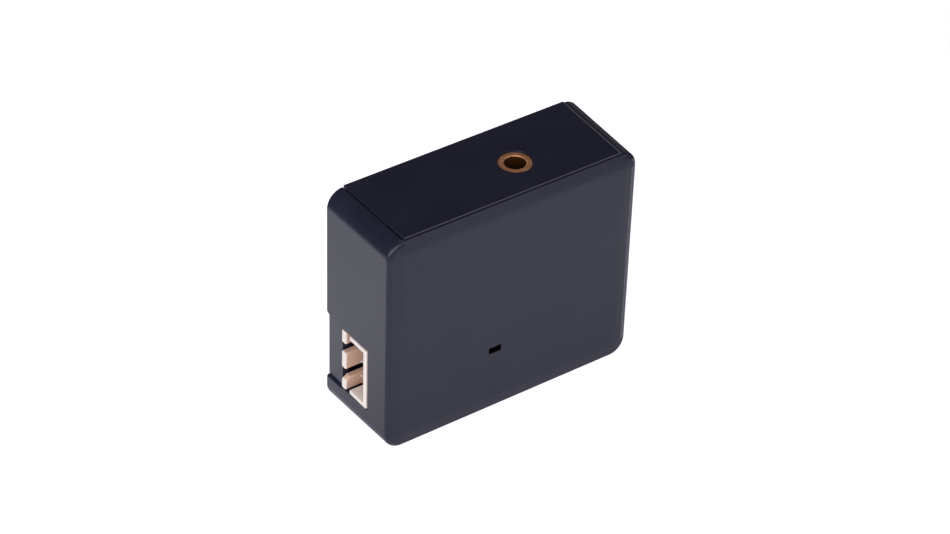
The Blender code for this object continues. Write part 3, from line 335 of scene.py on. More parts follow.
class Finish:
    """A material with a Principled shader, and short calls that add patterns to it."""

    def __init__(self, name):
        self.material = bpy.data.materials.new(name)
        self.material.use_nodes = True
        self.tree = self.material.node_tree
        self.shader = self.tree.nodes["Principled BSDF"]
        self.coordinates = self.tree.nodes.new("ShaderNodeTexCoord").outputs["Object"]

    def pattern(self, kind, source=None, **inputs):
        """A node that draws a pattern on the piece's coordinates."""
        made = self.tree.nodes.new(kind)
        for key, value in inputs.items():
            made.inputs[key].default_value = value
        self.tree.links.new(source or self.coordinates, made.inputs["Vector"])
        return made

    def noise(self, width, detail=3.0, stretch=None):
        """Noise from 0 to 1 whose features are about this wide, in metres, stretched if asked."""
        source = self.coordinates
        if stretch:
            source = self.pattern("ShaderNodeMapping", Scale=stretch).outputs["Vector"]
        return self.pattern("ShaderNodeTexNoise", source, Scale=1.0 / width, Detail=detail).outputs["Fac"]

    def even(self, **values):
        """Sets values that are the same all over the surface."""
        for key, value in values.items():
            self.shader.inputs[key.replace("_", " ")].default_value = value

    def show(self, tone):
        self.tone = tone
        self.tree.links.new(tone, self.shader.inputs["Base Color"])

    def colour(self, value, dark, light, start=NOISE_LOW, end=NOISE_HIGH):
        """The base colour, drifting between two tones."""
        share = map_range(self.tree, value, start, end, 0.0, 1.0)
        self.show(mix(self.tree, share, (*dark, 1.0), (*light, 1.0), "RGBA"))

    def lay_over(self, share, colour):
        """Lays another base colour over the tone where the share is 1."""
        self.show(mix(self.tree, share, self.tone, (*colour, 1.0), "RGBA"))

    def where_marked(self, mark, colour):
        """Gives the faces marked with this attribute a base colour of their own."""
        faces = self.tree.nodes.new("ShaderNodeAttribute")
        faces.attribute_name = mark
        self.lay_over(faces.outputs["Fac"], colour)

    def along_x(self, start, end, colour):
        """Passes over to another base colour between two places along X."""
        axes = self.pattern("ShaderNodeSeparateXYZ")
        self.lay_over(map_range(self.tree, axes.outputs["X"], start, end, 0.0, 1.0), colour)

    def roughness(self, value, low, high):
        rough = map_range(self.tree, value, NOISE_LOW, NOISE_HIGH, low, high)
        self.tree.links.new(rough, self.shader.inputs["Roughness"])

    def bump(self, value, height):
        """Lifts the surface by up to this height, in metres, where the value is 1."""
        bump = self.tree.nodes.new("ShaderNodeBump")
        bump.inputs["Strength"].default_value = 1.0
        bump.inputs["Distance"].default_value = height
        self.tree.links.new(value, bump.inputs["Height"])
        self.tree.links.new(bump.outputs["Normal"], self.shader.inputs["Normal"])


print("finish helpers ready")

# %% [markdown]
# ## Dark moulded plastic
# The case is dark blue-grey plastic from a finely blasted mould. Close up it has a grain of about 0.1 mm,
# and over about a centimetre its tone and sheen drift a little. The colour itself is nearly black: the
# grey that the upright faces show is the white card in their sheen. Some edges get a paler colour, which is
# a painted highlight, and the lip's top a trace of it, which is painted light on a shaded ledge; the walls
# of the light slot get black, which is painted shade. These could be painted on by hand, but here they are
# marked on the faces as the piece is made, and the finish reads the marks.

# %% Dark moulded plastic
CASE_DARK = (0.0145, 0.0150, 0.0330)
CASE_LIGHT = (0.0175, 0.0181, 0.0390)
CASE_IOR = 1.4
# Painted highlight: marked faces get a paler colour in place of the sheen and light on them
PAINTED_HIGHLIGHT = "painted_highlight"
PAINTED_HIGHLIGHT_COLOUR = (0.190, 0.195, 0.230)
# Painted shade: the walls of the light slot get black in place of the shade inside them
PAINTED_SLOT_SHADE = "painted_slot_shade"
SLOT_SHADE_BLACK = (0.001, 0.001, 0.001)


def dark_moulded_plastic(name):
    finish = Finish(name)
    drift = finish.noise(width=9 * MM)
    finish.colour(drift, CASE_DARK, CASE_LIGHT)
    finish.roughness(drift, low=0.30, high=0.34)
    finish.bump(finish.noise(width=0.11 * MM), height=0.004 * MM)
    finish.even(IOR=CASE_IOR)
    # Painted highlight on the marked edges and on the lip
    finish.where_marked(PAINTED_HIGHLIGHT, PAINTED_HIGHLIGHT_COLOUR)
    # Painted shade on the walls of the light slot
    finish.where_marked(PAINTED_SLOT_SHADE, SLOT_SHADE_BLACK)
    return finish.material


front_plastic = dark_moulded_plastic("case_front_plastic")
rear_plastic = dark_moulded_plastic("case_rear_plastic")
print("made", front_plastic.name, "and", rear_plastic.name)

# %% [markdown]
# ## Finding faces and edges
# A piece starts as a bmesh and is shaped by operators, which need to be told what to work on. Numbers of
# faces change with every step, so faces are found by the way that they look and by where their middle lies,
# and edges by where their ends lie. Then the steps still work when a size changes.

# %% Finding faces and edges
SAME_PLACE = 0.002 * MM
FACING = 0.9
CLEAR_TURN = math.radians(50.0)
SLIGHT_TURN = math.radians(25.0)


def faces_where(shape, test):
    """The faces whose normal and middle pass a test."""
    return [face for face in shape.faces if test(face.normal, face.calc_center_median())]


def edges_where(edges, test):
    """The edges whose ends both pass a test."""
    return [edge for edge in edges if all(test(end.co) for end in edge.verts)]


def outer_edges(shape, least_turn=CLEAR_TURN):
    """The edges that stick out and turn by more than this angle."""
    shape.normal_update()
    return [e for e in shape.edges if e.is_manifold and e.is_convex and e.calc_face_angle() > least_turn]


def middle_of(edge):
    return (edge.verts[0].co + edge.verts[1].co) / 2


print("two places are the same within", round(SAME_PLACE / MM, 3), "mm")

# %% [markdown]
# ## Cutting, pushing and rounding
# Most steps of modelling are the same few: draw a cut across faces, take faces out, round edges off, push
# faces out, and mark faces for the finish. Each has a short helper around its bmesh operator.

# %% Cutting, pushing and rounding
X, Y, Z = range(3)
ON_PLANE = SAME_PLACE / 100


def cut_faces(shape, faces, point, normal):
    """Draws a cut across these faces along a plane, and leaves both sides in place."""
    parts = set(faces)
    for face in faces:
        parts.update(face.edges)
        parts.update(face.verts)
    bmesh.ops.bisect_plane(shape, geom=list(parts), dist=ON_PLANE, plane_co=point, plane_no=normal)
    shape.normal_update()


def cut_at(shape, faces, axis, place):
    """Draws a cut across these faces square to an axis."""
    normal = Vector((0.0, 0.0, 0.0))
    normal[axis] = 1.0
    cut_faces(shape, faces, normal * place, normal)


def remove_faces(shape, faces):
    bmesh.ops.delete(shape, geom=faces, context="FACES")


def round_off(shape, parts, radius, steps, affect="EDGES"):
    """Rounds edges, or corners of an outline, and returns the new faces and vertices by name."""
    return bmesh.ops.bevel(
        shape, geom=parts, offset=radius, offset_type="OFFSET", segments=steps,
        profile=0.5, affect=affect, material=-1,
    )


def push_out(shape, faces, move):
    """Extrudes faces by a vector and returns the new vertices. Faces that were part of a body go."""
    beside = {face for own in faces for edge in own.edges for face in edge.link_faces}
    part_of_body = len(beside) > len(faces)
    grown = bmesh.ops.extrude_face_region(shape, geom=faces)["geom"]
    corners = [part for part in grown if isinstance(part, bmesh.types.BMVert)]
    bmesh.ops.translate(shape, verts=corners, vec=move)
    if part_of_body:
        remove_faces(shape, faces)
    shape.normal_update()
    return corners


def mark_faces(shape, faces, mark, share=1.0):
    """Sets an attribute, which a finish can read, on these faces. The shape already has its layer."""
    layer = shape.faces.layers.float[mark]
    for face in faces:
        face[layer] = share


print("shape helpers ready")

# %% [markdown]
# ## Placing a piece
# A finished shape becomes an object at the origin, with its place in its mesh. Rounded edges with wide flat
# faces beside them shade best with weighted normals, so that modifier finishes each piece. The helper also
# counts open edges: a closed piece has none.

# %% Placing a piece
SHARP_ANGLE = math.radians(35.0)


def place_piece(name, shape, material, slot, *replaced):
    open_edges = sum(not edge.is_manifold for edge in shape.edges)
    mesh = bpy.data.meshes.new(name)
    shape.to_mesh(mesh)
    shape.free()
    mesh.materials.append(material)
    mesh.shade_smooth()
    mesh.set_sharp_from_angle(angle=SHARP_ANGLE)
    piece = add_object(name, mesh)
    weighted = piece.modifiers.new("even_shading", "WEIGHTED_NORMAL")
    weighted.keep_sharp = True
    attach(piece, "case")
    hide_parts(*replaced)
    print(name, "has", len(mesh.polygons), "faces and", open_edges, "open edges")


print("pieces ride on the case")

# %% [markdown]
# ## Sizes of the case
# The case has draft, as every moulded box has: towards the back its sides spread and its top rises by 1.5
# degrees, so that it slips off the mould's core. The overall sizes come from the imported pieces, and two
# small functions give the outline at any depth.

# %% Case sizes
DRAFT = math.tan(math.radians(1.5))
PANEL_PROUD = 0.3 * MM
shell_low, shell_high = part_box("front_shell")
COVER_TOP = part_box("rear_cover")[1].z
FRONT_Y = shell_low.y
BACK_Y = shell_high.y
FRONT_HALF_WIDTH = shell_high.x - DRAFT * (BACK_Y - FRONT_Y)
FRONT_HEIGHT = COVER_TOP - PANEL_PROUD - DRAFT * (BACK_Y - FRONT_Y)


def side_at(y):
    """Half of the case's width at this depth."""
    return FRONT_HALF_WIDTH + DRAFT * (y - FRONT_Y)


def top_at(y):
    """Height of the case's top at this depth."""
    return FRONT_HEIGHT + DRAFT * (y - FRONT_Y)


print("front face", round(2 * FRONT_HALF_WIDTH / MM, 2), "x", round(FRONT_HEIGHT / MM, 2), "mm")

# %% [markdown]
# ## Front shell: the skin
# The front shell is a tray: a front wall with four sides, open to the back. It could be two boxes with one
# cut from the other, but a skin is simpler to control. A drafted box gets its corners rounded and loses its
# back. Its front has a slight crown, as large flat mouldings often do: rings of faces lead from the rim up
# to the flat middle, steep at first and then less and less.

# %% Front shell skin
CORNER_RADIUS = 3.2 * MM
CORNER_STEPS = 14
CROWN_PROUD = 0.25 * MM


def drafted_skin():
    """The case's outer skin with round corners, open at the back."""
    shape = bmesh.new()
    bmesh.ops.create_cube(shape, size=2.0)
    for corner in shape.verts:
        y = FRONT_Y - CROWN_PROUD if corner.co.y < 0 else BACK_Y
        z = top_at(y) if corner.co.z > 0 else 0.0
        corner.co = (math.copysign(side_at(y), corner.co.x), y, z)
    shape.normal_update()
    along = [e for e in shape.edges if abs(e.verts[0].co.y - e.verts[1].co.y) > SAME_PLACE]
    round_off(shape, along, CORNER_RADIUS, CORNER_STEPS)
    shape.normal_update()
    remove_faces(shape, [max(shape.faces, key=lambda face: face.normal.y)])
    return shape


shell = drafted_skin()
print("shell skin has", len(shell.faces), "faces")

# %% Crown of the front
CROWN_TILT = math.tan(math.radians(6.0))
CROWN_RIM = 1.2 * MM
CROWN_SLOPE = 2.0 * MM
CROWN_TURN = 1.1 * MM
CROWN_TURN_STEPS = 4
CROWN_DEPTH = CROWN_TILT * (CROWN_SLOPE + CROWN_TURN / 2)


def crown_front(shape):
    """Sets the front's rim back, and leads rings of faces from it up to the flat middle."""
    front = min(shape.faces, key=lambda face: face.normal.y)
    for corner in front.verts:
        corner.co.y += CROWN_DEPTH
    rings = [(width, CROWN_TILT * width) for width in (CROWN_RIM, CROWN_SLOPE - CROWN_RIM)]
    width = CROWN_TURN / CROWN_TURN_STEPS
    for step in range(CROWN_TURN_STEPS):
        left_to_turn = 1.0 - (step + 0.5) / CROWN_TURN_STEPS
        rings.append((width, CROWN_TILT * width * left_to_turn))
    for width, rise in rings:
        bmesh.ops.inset_individual(shape, faces=[front], thickness=width, depth=rise)
    shape.normal_update()


crown_front(shell)
print("shell skin has", len(shell.faces), "faces with the crown of its front")

# %% [markdown]
# ## Front shell: the openings
# The skin has three openings: the top for the cover's panel, which laps over the front wall, the notch for
# the header, and the slot for the light. A Boolean could cut them, but cuts drawn on the skin leave clean
# edges, so the lines of each opening are drawn and the faces between them are taken out.

# %% Opening in the top
OPENING_MARGIN = 3.0 * MM
LIP_DROP = 0.05 * MM
LIP_Z = FRONT_HEIGHT - LIP_DROP
NEARLY_FLAT = math.cos(math.radians(14.0))


def open_top(shape):
    """Takes out the top where the panel lies, and the strip of the front that the panel laps over."""

    def near(normal, middle):
        return normal.z > NEARLY_FLAT or normal.y < -NEARLY_FLAT

    def inside(normal, middle):
        in_front = normal.y < -NEARLY_FLAT and middle.z > LIP_Z
        within = abs(middle.x) < side_at(middle.y) - OPENING_MARGIN
        return within and (normal.z > NEARLY_FLAT or in_front)

    for side in (-1.0, 1.0):
        edge = (side * (side_at(BACK_Y) - OPENING_MARGIN), BACK_Y, 0.0)
        cut_faces(shape, faces_where(shape, near), edge, (1.0, -side * DRAFT, 0.0))
    cut_at(shape, faces_where(shape, lambda normal, middle: normal.y < -NEARLY_FLAT), Z, LIP_Z)
    remove_faces(shape, faces_where(shape, inside))


open_top(shell)
print("shell skin has", len(shell.faces), "faces with its top open")

# %% Notch in the left side
header_low, header_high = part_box("plug_header")
HEADER_THICKNESS = 7.25 * MM
HEADER_NEAR_Y = header_high.y - HEADER_THICKNESS
NOTCH_GAP = 0.2 * MM
NOTCH_Y = HEADER_NEAR_Y - NOTCH_GAP
NOTCH_LOW = header_low.z - NOTCH_GAP
NOTCH_HIGH = header_high.z + NOTCH_GAP
NOTCH_CORNER = 0.85 * MM
SMALL_CORNER_STEPS = 8
TONGUE_RISE = 0.5 * MM
TONGUE_HIGH = header_high.z + TONGUE_RISE
STEP_Y = header_high.y
FLAT_SIDE = 0.9995


def open_notch(shape):
    """Cuts the notch for the header and the taller one for the tongue, with its upper corner rounded."""
    upper = TONGUE_HIGH + NOTCH_GAP

    def behind(normal, middle):
        return normal.x < -FLAT_SIDE and middle.y > NOTCH_Y

    def inside(normal, middle):
        high = upper if middle.y > STEP_Y else NOTCH_HIGH
        return normal.x < -FACING and middle.y > NOTCH_Y and NOTCH_LOW < middle.z < high

    left = faces_where(shape, lambda normal, middle: normal.x < -FACING)
    cut_at(shape, [max(left, key=lambda face: face.calc_area())], Y, NOTCH_Y)
    for axis, place in ((Z, NOTCH_LOW), (Z, NOTCH_HIGH), (Z, upper), (Y, STEP_Y)):
        cut_at(shape, faces_where(shape, behind), axis, place)
    remove_faces(shape, faces_where(shape, inside))
    corner = Vector((-side_at(BACK_Y), BACK_Y, upper))
    at_rim = [v for v in shape.verts if (v.co - corner).length < SAME_PLACE]
    round_off(shape, at_rim, NOTCH_CORNER, SMALL_CORNER_STEPS, "VERTICES")


open_notch(shell)
print("shell skin has", len(shell.faces), "faces with its notch")

# %% Light slot
SLOT_X = -3.3 * MM
SLOT_Z = 12.8 * MM
SLOT_WIDTH = 2.45 * MM
SLOT_HEIGHT = 1.2 * MM
FLAT_FRONT = 0.999


def open_slot(shape):
    """Cuts the light slot through the front."""

    def between(normal, middle):
        return normal.y < -FLAT_FRONT and abs(middle.x - SLOT_X) < SLOT_WIDTH / 2

    for side in (-0.5, 0.5):
        front = faces_where(shape, lambda normal, middle: normal.y < -FLAT_FRONT)
        cut_at(shape, front, X, SLOT_X + side * SLOT_WIDTH)
    for side in (-0.5, 0.5):
        cut_at(shape, faces_where(shape, between), Z, SLOT_Z + side * SLOT_HEIGHT)
    slot_middle = Vector((SLOT_X, FRONT_Y, SLOT_Z))
    inside = min(shape.faces, key=lambda face: (face.calc_center_median() - slot_middle).length)
    remove_faces(shape, [inside])


open_slot(shell)
print("shell skin has", len(shell.faces), "faces with its slot")

# %% [markdown]
# ## Front shell: wall and front edges
# Now the skin gets its wall. A Solidify modifier would do it too, but the edges of the wall are needed
# right away: the lip under the panel is eased, and the edge around the front is rounded over.

# %% Front shell wall and front edges
SHELL_WALL = 1.5 * MM
RIM_SKEW = 0.15 * MM
LIP_EASE = 0.1 * MM
FINE_STEPS = 4
FRONT_EDGE_RADIUS = 0.75 * MM
FRONT_EDGE_STEPS = 8


def thicken_shell(shape):
    """Gives the skin its wall, with a flat rim at the back."""
    bmesh.ops.recalc_face_normals(shape, faces=shape.faces)
    bmesh.ops.solidify(shape, geom=shape.faces[:], thickness=SHELL_WALL)
    bmesh.ops.recalc_face_normals(shape, faces=shape.faces)
    for vertex in shape.verts:
        if vertex.co.y > BACK_Y - RIM_SKEW:
            vertex.co.y = BACK_Y


def front_edges(shape):
    """The edges of the lip, and the edges around the front apart from the lip's and the slot's."""
    lip = []
    rim = []
    front = edges_where(outer_edges(shape), lambda place: place.y < FRONT_Y + CROWN_DEPTH + SAME_PLACE)
    for edge in front:
        middle = middle_of(edge)
        inner = abs(middle.x) < FRONT_HALF_WIDTH - OPENING_MARGIN + SAME_PLACE and middle.z > CORNER_RADIUS
        if all(abs(end.co.z - LIP_Z) < SAME_PLACE for end in edge.verts):
            lip.append(edge)
        elif not inner:
            rim.append(edge)
    return lip, rim


shell.faces.layers.float.new(PAINTED_HIGHLIGHT)
shell.faces.layers.float.new(PAINTED_SLOT_SHADE)
thicken_shell(shell)
shell_lip, shell_rim = front_edges(shell)
round_off(shell, shell_lip, LIP_EASE, FINE_STEPS)
shell_round = round_off(shell, shell_rim, FRONT_EDGE_RADIUS, FRONT_EDGE_STEPS)["faces"]
print("shell has", len(shell.faces), "faces,", len(shell_round), "of them on its front edge")

# %% [markdown]
# ## Front shell: painted highlights, painted shade and rims
# The right front edge is the one that shines most on the real box, so it and the strip beside it get a
# painted highlight, the lip gets a trace of painted light, and the walls of the slot get painted shade. The
# notch's lower edge loses its corner, and last every other outer rim is eased, because no moulded edge is
# sharp.

# %% Front shell painted highlights and shade
# The least turn of a marked face, and the shares of the painted highlight and of the painted light
MARK_LEAST_TURN = 0.25
STRIP_HIGHLIGHT = 0.4
STRIP_LEAST_AREA = 5.0 * MM * MM
LIP_PAINTED_LIGHT = 0.1


def mark_painted_light(shape, rounded):
    """Marks painted highlights on the right round and strip, painted light on the lip, painted shade in the
    slot.
    """

    def painted_slot_shade(normal, middle):
        beside = abs(middle.x - SLOT_X) < SLOT_WIDTH and abs(middle.z - SLOT_Z) < SLOT_HEIGHT
        return beside and abs(normal.y) < MARK_LEAST_TURN

    def on_lip(normal, middle):
        near = abs(middle.z - LIP_Z) < LIP_EASE and middle.y < FRONT_Y + SHELL_WALL
        return near and normal.z > MARK_LEAST_TURN

    def at_right(normal, middle):
        beside = FRONT_HALF_WIDTH - CROWN_RIM < middle.x < FRONT_HALF_WIDTH - FRONT_EDGE_RADIUS
        return beside and normal.y < -NEARLY_FLAT

    shape.normal_update()
    right_round = [f for f in rounded if abs(f.normal.z) < MARK_LEAST_TURN < f.normal.x]
    strip = [f for f in faces_where(shape, at_right) if f.calc_area() > STRIP_LEAST_AREA]
    mark_faces(shape, right_round, PAINTED_HIGHLIGHT)
    mark_faces(shape, faces_where(shape, on_lip), PAINTED_HIGHLIGHT, LIP_PAINTED_LIGHT)
    mark_faces(shape, strip, PAINTED_HIGHLIGHT, STRIP_HIGHLIGHT)
    # Painted shade on the walls of the light slot
    mark_faces(shape, faces_where(shape, painted_slot_shade), PAINTED_SLOT_SHADE)


mark_painted_light(shell, shell_round)
print("shell has", sum(face[shell.faces.layers.float[PAINTED_HIGHLIGHT]] > 0 for face in shell.faces), "rubbed faces")

# %% Front shell rims
LIP_CHAMFER = 0.35 * MM
RIM_EASE = 0.08 * MM
RIM_STEPS = 2


def chamfer_notch(shape):
    """Takes the outer corner off the notch's lower edge, where the tongue stands behind it."""

    def on_edge(place):
        outside = abs(place.x + side_at(place.y)) < SAME_PLACE
        return outside and abs(place.z - NOTCH_LOW) < SAME_PLACE and place.y > STEP_Y - SAME_PLACE

    round_off(shape, edges_where(outer_edges(shape), on_edge), LIP_CHAMFER, 1)


chamfer_notch(shell)
round_off(shell, outer_edges(shell), RIM_EASE, RIM_STEPS)
place_piece("front_shell_moulding", shell, front_plastic, "case_front", "front_shell")

# %% [markdown]
# ## Rear cover
# The rear cover is an L: a plate that closes the back, and a panel that lies in the shell's top and stands
# a little proud of it. On the left a tongue fills the notch behind the header. The whole cover grows from
# one outline, drawn on its back: the outline is extruded into the plate, a strip of the plate's inner face
# is extruded into the panel, and a patch of its left edge into the tongue.

# %% Rear cover plate
CASE_CLEARANCE = 0.2 * MM
PLATE_INSET = SHELL_WALL + CASE_CLEARANCE
PLATE_LOW = 1.8 * MM
PLATE_THICKNESS = 1.6 * MM
PLATE_CORNER = 1.5 * MM
PANEL_INSET = OPENING_MARGIN + CASE_CLEARANCE


def follow_draft(corners, depth):
    """Draws vertices in as the case's sides and top do over this depth, towards the front."""
    for corner in corners:
        corner.co.x -= math.copysign(DRAFT * depth, corner.co.x)
        if corner.co.z > FRONT_HEIGHT / 2:
            corner.co.z -= DRAFT * depth


def cover_plate():
    plate_half = side_at(BACK_Y) - PLATE_INSET
    panel_half = side_at(BACK_Y) - PANEL_INSET
    step = top_at(BACK_Y) - PLATE_INSET
    half = [(plate_half, PLATE_LOW), (plate_half, step), (panel_half, step)]
    half.append((panel_half, top_at(BACK_Y) + PANEL_PROUD))
    outline = half + [(-x, z) for x, z in reversed(half)]
    shape = bmesh.new()
    back = shape.faces.new([shape.verts.new((x, BACK_Y, z)) for x, z in outline])
    plate_corners = [v for v in back.verts if abs(abs(v.co.x) - plate_half) < SAME_PLACE]
    round_off(shape, plate_corners, PLATE_CORNER, SMALL_CORNER_STEPS, "VERTICES")
    follow_draft(push_out(shape, shape.faces[:], (0.0, -PLATE_THICKNESS, 0.0)), PLATE_THICKNESS)
    bmesh.ops.recalc_face_normals(shape, faces=shape.faces)
    return shape


cover = cover_plate()
print("cover plate has", len(cover.faces), "faces")

# %% Rear cover panel
PLATE_Y = BACK_Y - PLATE_THICKNESS
PANEL_SETBACK = 0.38 * MM
PANEL_Y = FRONT_Y + PANEL_SETBACK
PANEL_WALL = 1.5 * MM
LAP_GAP = 0.06 * MM
LAP_Y = FRONT_Y + SHELL_WALL + CASE_CLEARANCE
LAP_Z = LIP_Z + LAP_GAP


def grow_forwards(shape, low, start, end):
    """Extrudes the part above a height of the faces that look forwards at one depth, to another depth."""

    def at_start(normal, middle):
        return normal.y < -FACING and abs(middle.y - start) < SAME_PLACE

    cut_at(shape, faces_where(shape, at_start), Z, low)
    strip = [f for f in faces_where(shape, at_start) if f.calc_center_median().z > low]
    follow_draft(push_out(shape, strip, (0.0, end - start, 0.0)), start - end)


grow_forwards(cover, top_at(PLATE_Y) - PANEL_WALL, PLATE_Y, LAP_Y)
grow_forwards(cover, LAP_Z, LAP_Y, PANEL_Y)
print("cover has", len(cover.faces), "faces with its panel")

# %% Rear cover tongue
TONGUE_RECESS = 0.47 * MM
TONGUE_X = -side_at(BACK_Y) + TONGUE_RECESS
TONGUE_Y = header_high.y + NOTCH_GAP
SQUARELY_LEFT = -0.99


def add_tongue(shape):
    def on_left(normal, middle):
        return normal.x < SQUARELY_LEFT and middle.z < FRONT_HEIGHT

    def behind_header(normal, middle):
        return normal.x < SQUARELY_LEFT and header_low.z < middle.z < TONGUE_HIGH

    def inner(normal, middle):
        return normal.y < -FACING and middle.x < -side_at(PLATE_Y) + PLATE_INSET

    for height in (header_low.z, TONGUE_HIGH):
        cut_at(shape, faces_where(shape, on_left), Z, height)
    patch = faces_where(shape, behind_header)
    for corner in push_out(shape, patch, (-PLATE_THICKNESS, 0.0, 0.0)):
        corner.co.x = TONGUE_X
    shape.normal_update()
    push_out(shape, faces_where(shape, inner), (0.0, TONGUE_Y - PLATE_Y, 0.0))


add_tongue(cover)
print("cover has", len(cover.faces), "faces with its tongue")

# %% [markdown]
# ## Hole for the jack
# The jack's hole goes through the panel. A round hole needs round edges on both faces, so a square cell is
# cut around it above and below, its sides are divided, and a slight inset of the divided square is cast
# onto a circle. The two circles are then bridged into the wall of the hole.

# %% Hole for the jack
barrel_low, barrel_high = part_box("jack_barrel")
JACK_X = (barrel_low.x + barrel_high.x) / 2
JACK_Y = (barrel_low.y + barrel_high.y) / 2
JACK_CENTRE = Vector((JACK_X, JACK_Y))
BARREL_RADIUS = (barrel_high.x - barrel_low.x) / 2
HOLE_GAP = 0.06 * MM
HOLE_RADIUS = BARREL_RADIUS + HOLE_GAP
HOLE_CELL = 4.6 * MM
HOLE_CELL_INSET = 0.02 * MM
HOLE_SIDE_STEPS = 16


def panel_faces(shape, up):
    """The faces of the panel that look up, where up is 1, or down, where it is -1."""
    lowest = FRONT_HEIGHT - 2 * PANEL_WALL

    def on_panel(normal, middle):
        return normal.z * up > FACING and middle.z > lowest and middle.y < PLATE_Y

    return faces_where(shape, on_panel)


def round_cell(shape, up):
    """Draws the circle of the hole on one side of the panel and returns its edges."""
    for side in (-HOLE_CELL, HOLE_CELL):
        cut_at(shape, panel_faces(shape, up), X, JACK_X + side)
        cut_at(shape, panel_faces(shape, up), Y, JACK_Y + side)
    cell = min(panel_faces(shape, up), key=lambda face: (face.calc_center_median().xy - JACK_CENTRE).length)
    bmesh.ops.bisect_edges(shape, edges=cell.edges[:], cuts=HOLE_SIDE_STEPS - 1)
    bmesh.ops.inset_individual(shape, faces=[cell], thickness=HOLE_CELL_INSET)
    for corner in cell.verts:
        before = corner.co.copy()
        corner.co.xy = JACK_CENTRE + (before.xy - JACK_CENTRE).normalized() * HOLE_RADIUS
        corner.co.z += DRAFT * (corner.co.y - before.y)
    edges = cell.edges[:]
    remove_faces(shape, [cell])
    return edges


cover.faces.layers.float.new(PAINTED_HIGHLIGHT)
hole_edges = round_cell(cover, 1.0) + round_cell(cover, -1.0)
bmesh.ops.bridge_loops(cover, edges=hole_edges)
bmesh.ops.recalc_face_normals(cover, faces=cover.faces)
print("cover has", len(cover.faces), "faces with its hole")

# %% [markdown]
# ## Edges and painted highlights of the cover
# The panel's upper edges are eased first, because they show most, and then every other outer edge. The
# panel's front and right edges get a painted highlight, and so does a thin strip of its top along the right
# edge.

# %% Cover edges and painted highlights
PANEL_EASE = 0.15 * MM
COVER_EASE = 0.07 * MM
# Shares of the painted highlight on the panel's front edge and along its right edge
PANEL_FRONT_HIGHLIGHT = 0.28
PANEL_RIGHT_HIGHLIGHT = 0.45
RIGHT_STRIP = 0.2 * MM


def on_top(place):
    return place.z > top_at(place.y) + PANEL_PROUD / 2


def top_faces(shape):
    """The faces of the cover's flat top, over the panel and the plate behind it."""
    return faces_where(shape, lambda normal, middle: normal.z > FACING and on_top(middle))


def panel_edges(shape):
    """The edges around the cover's flat top, without the hole's."""
    found = edges_where(outer_edges(shape), on_top)
    return [e for e in found if (middle_of(e).xy - JACK_CENTRE).length > HOLE_RADIUS + SAME_PLACE]


def paint_right_edge_highlight(shape):
    """Marks a painted highlight on a thin strip of the flat top along its right edge, which leans with the
    draft.
    """
    strip_x = side_at(BACK_Y) - PANEL_INSET - PANEL_EASE - RIGHT_STRIP

    def in_strip(face):
        middle = face.calc_center_median()
        return middle.x > strip_x - DRAFT * (BACK_Y - middle.y)

    cut_faces(shape, top_faces(shape), (strip_x, BACK_Y, 0.0), (1.0, -DRAFT, 0.0))
    mark_faces(shape, filter(in_strip, top_faces(shape)), PAINTED_HIGHLIGHT, PANEL_RIGHT_HIGHLIGHT)


panel_rim = round_off(cover, panel_edges(cover), PANEL_EASE, FINE_STEPS)["faces"]
cover.normal_update()
# Painted highlight on the panel's front and right edges
mark_faces(cover, [f for f in panel_rim if f.normal.y < -MARK_LEAST_TURN], PAINTED_HIGHLIGHT, PANEL_FRONT_HIGHLIGHT)
mark_faces(cover, [f for f in panel_rim if f.normal.x > MARK_LEAST_TURN], PAINTED_HIGHLIGHT)
paint_right_edge_highlight(cover)
round_off(cover, outer_edges(cover), COVER_EASE, RIM_STEPS)
place_piece("rear_cover_moulding", cover, rear_plastic, "case_rear", "rear_cover")

# %% [markdown]
# ## Plug header
# The header is a cream nylon socket for a three-wire plug. Its section changes along its length: solid at
# the back, then a ring of four walls, then a ring whose far wall is slotted twice for the plug's keys, and
# at the mouth also slots through the end walls. So one sheet is divided into cells by the lines of every
# wall and slot, and the cells are extruded in four stages, fewer at each one.

# %% Header cells
NEAR_WALL = 0.9 * MM
FAR_WALL = 1.2 * MM
END_WALL = 0.8 * MM
BACK_WALL = 1.6 * MM
KEY_SLOT_WIDTH = 1.93 * MM
KEY_SLOT_SPACING = 5.3 * MM
END_SLOT_WIDTH = 1.1 * MM
MOUTH_X = header_low.x
HEADER_BACK_X = header_high.x
HEADER_LOW = header_low.z
HEADER_HIGH = header_high.z
HEADER_MIDDLE = (HEADER_LOW + HEADER_HIGH) / 2
INNER_LOW = HEADER_LOW + END_WALL
INNER_HIGH = HEADER_HIGH - END_WALL
INNER_NEAR_Y = HEADER_NEAR_Y + NEAR_WALL
INNER_FAR_Y = header_high.y - FAR_WALL
END_SLOT_Y = INNER_FAR_Y - END_SLOT_WIDTH


def header_cells():
    """One sheet at the header's back, divided along every wall and slot."""
    shape = bmesh.new()
    corners = [(HEADER_NEAR_Y, HEADER_LOW), (header_high.y, HEADER_LOW)]
    corners += [(header_high.y, HEADER_HIGH), (HEADER_NEAR_Y, HEADER_HIGH)]
    shape.faces.new([shape.verts.new((HEADER_BACK_X, y, z)) for y, z in corners])
    for y in (INNER_NEAR_Y, END_SLOT_Y, INNER_FAR_Y):
        cut_at(shape, shape.faces[:], Y, y)
    heights = [INNER_LOW, INNER_HIGH]
    for side in (-0.5, 0.5):
        for edge in (-0.5, 0.5):
            heights.append(HEADER_MIDDLE + side * KEY_SLOT_SPACING + edge * KEY_SLOT_WIDTH)
    for z in heights:
        cut_at(shape, shape.faces[:], Z, z)
    return shape


header = header_cells()
print("header sheet has", len(header.faces), "cells")

# %% Header stages
KEY_SLOT_LENGTH = 5.5 * MM
END_SLOT_LENGTH = 4.0 * MM
SAME_PLANE = math.radians(1.0)


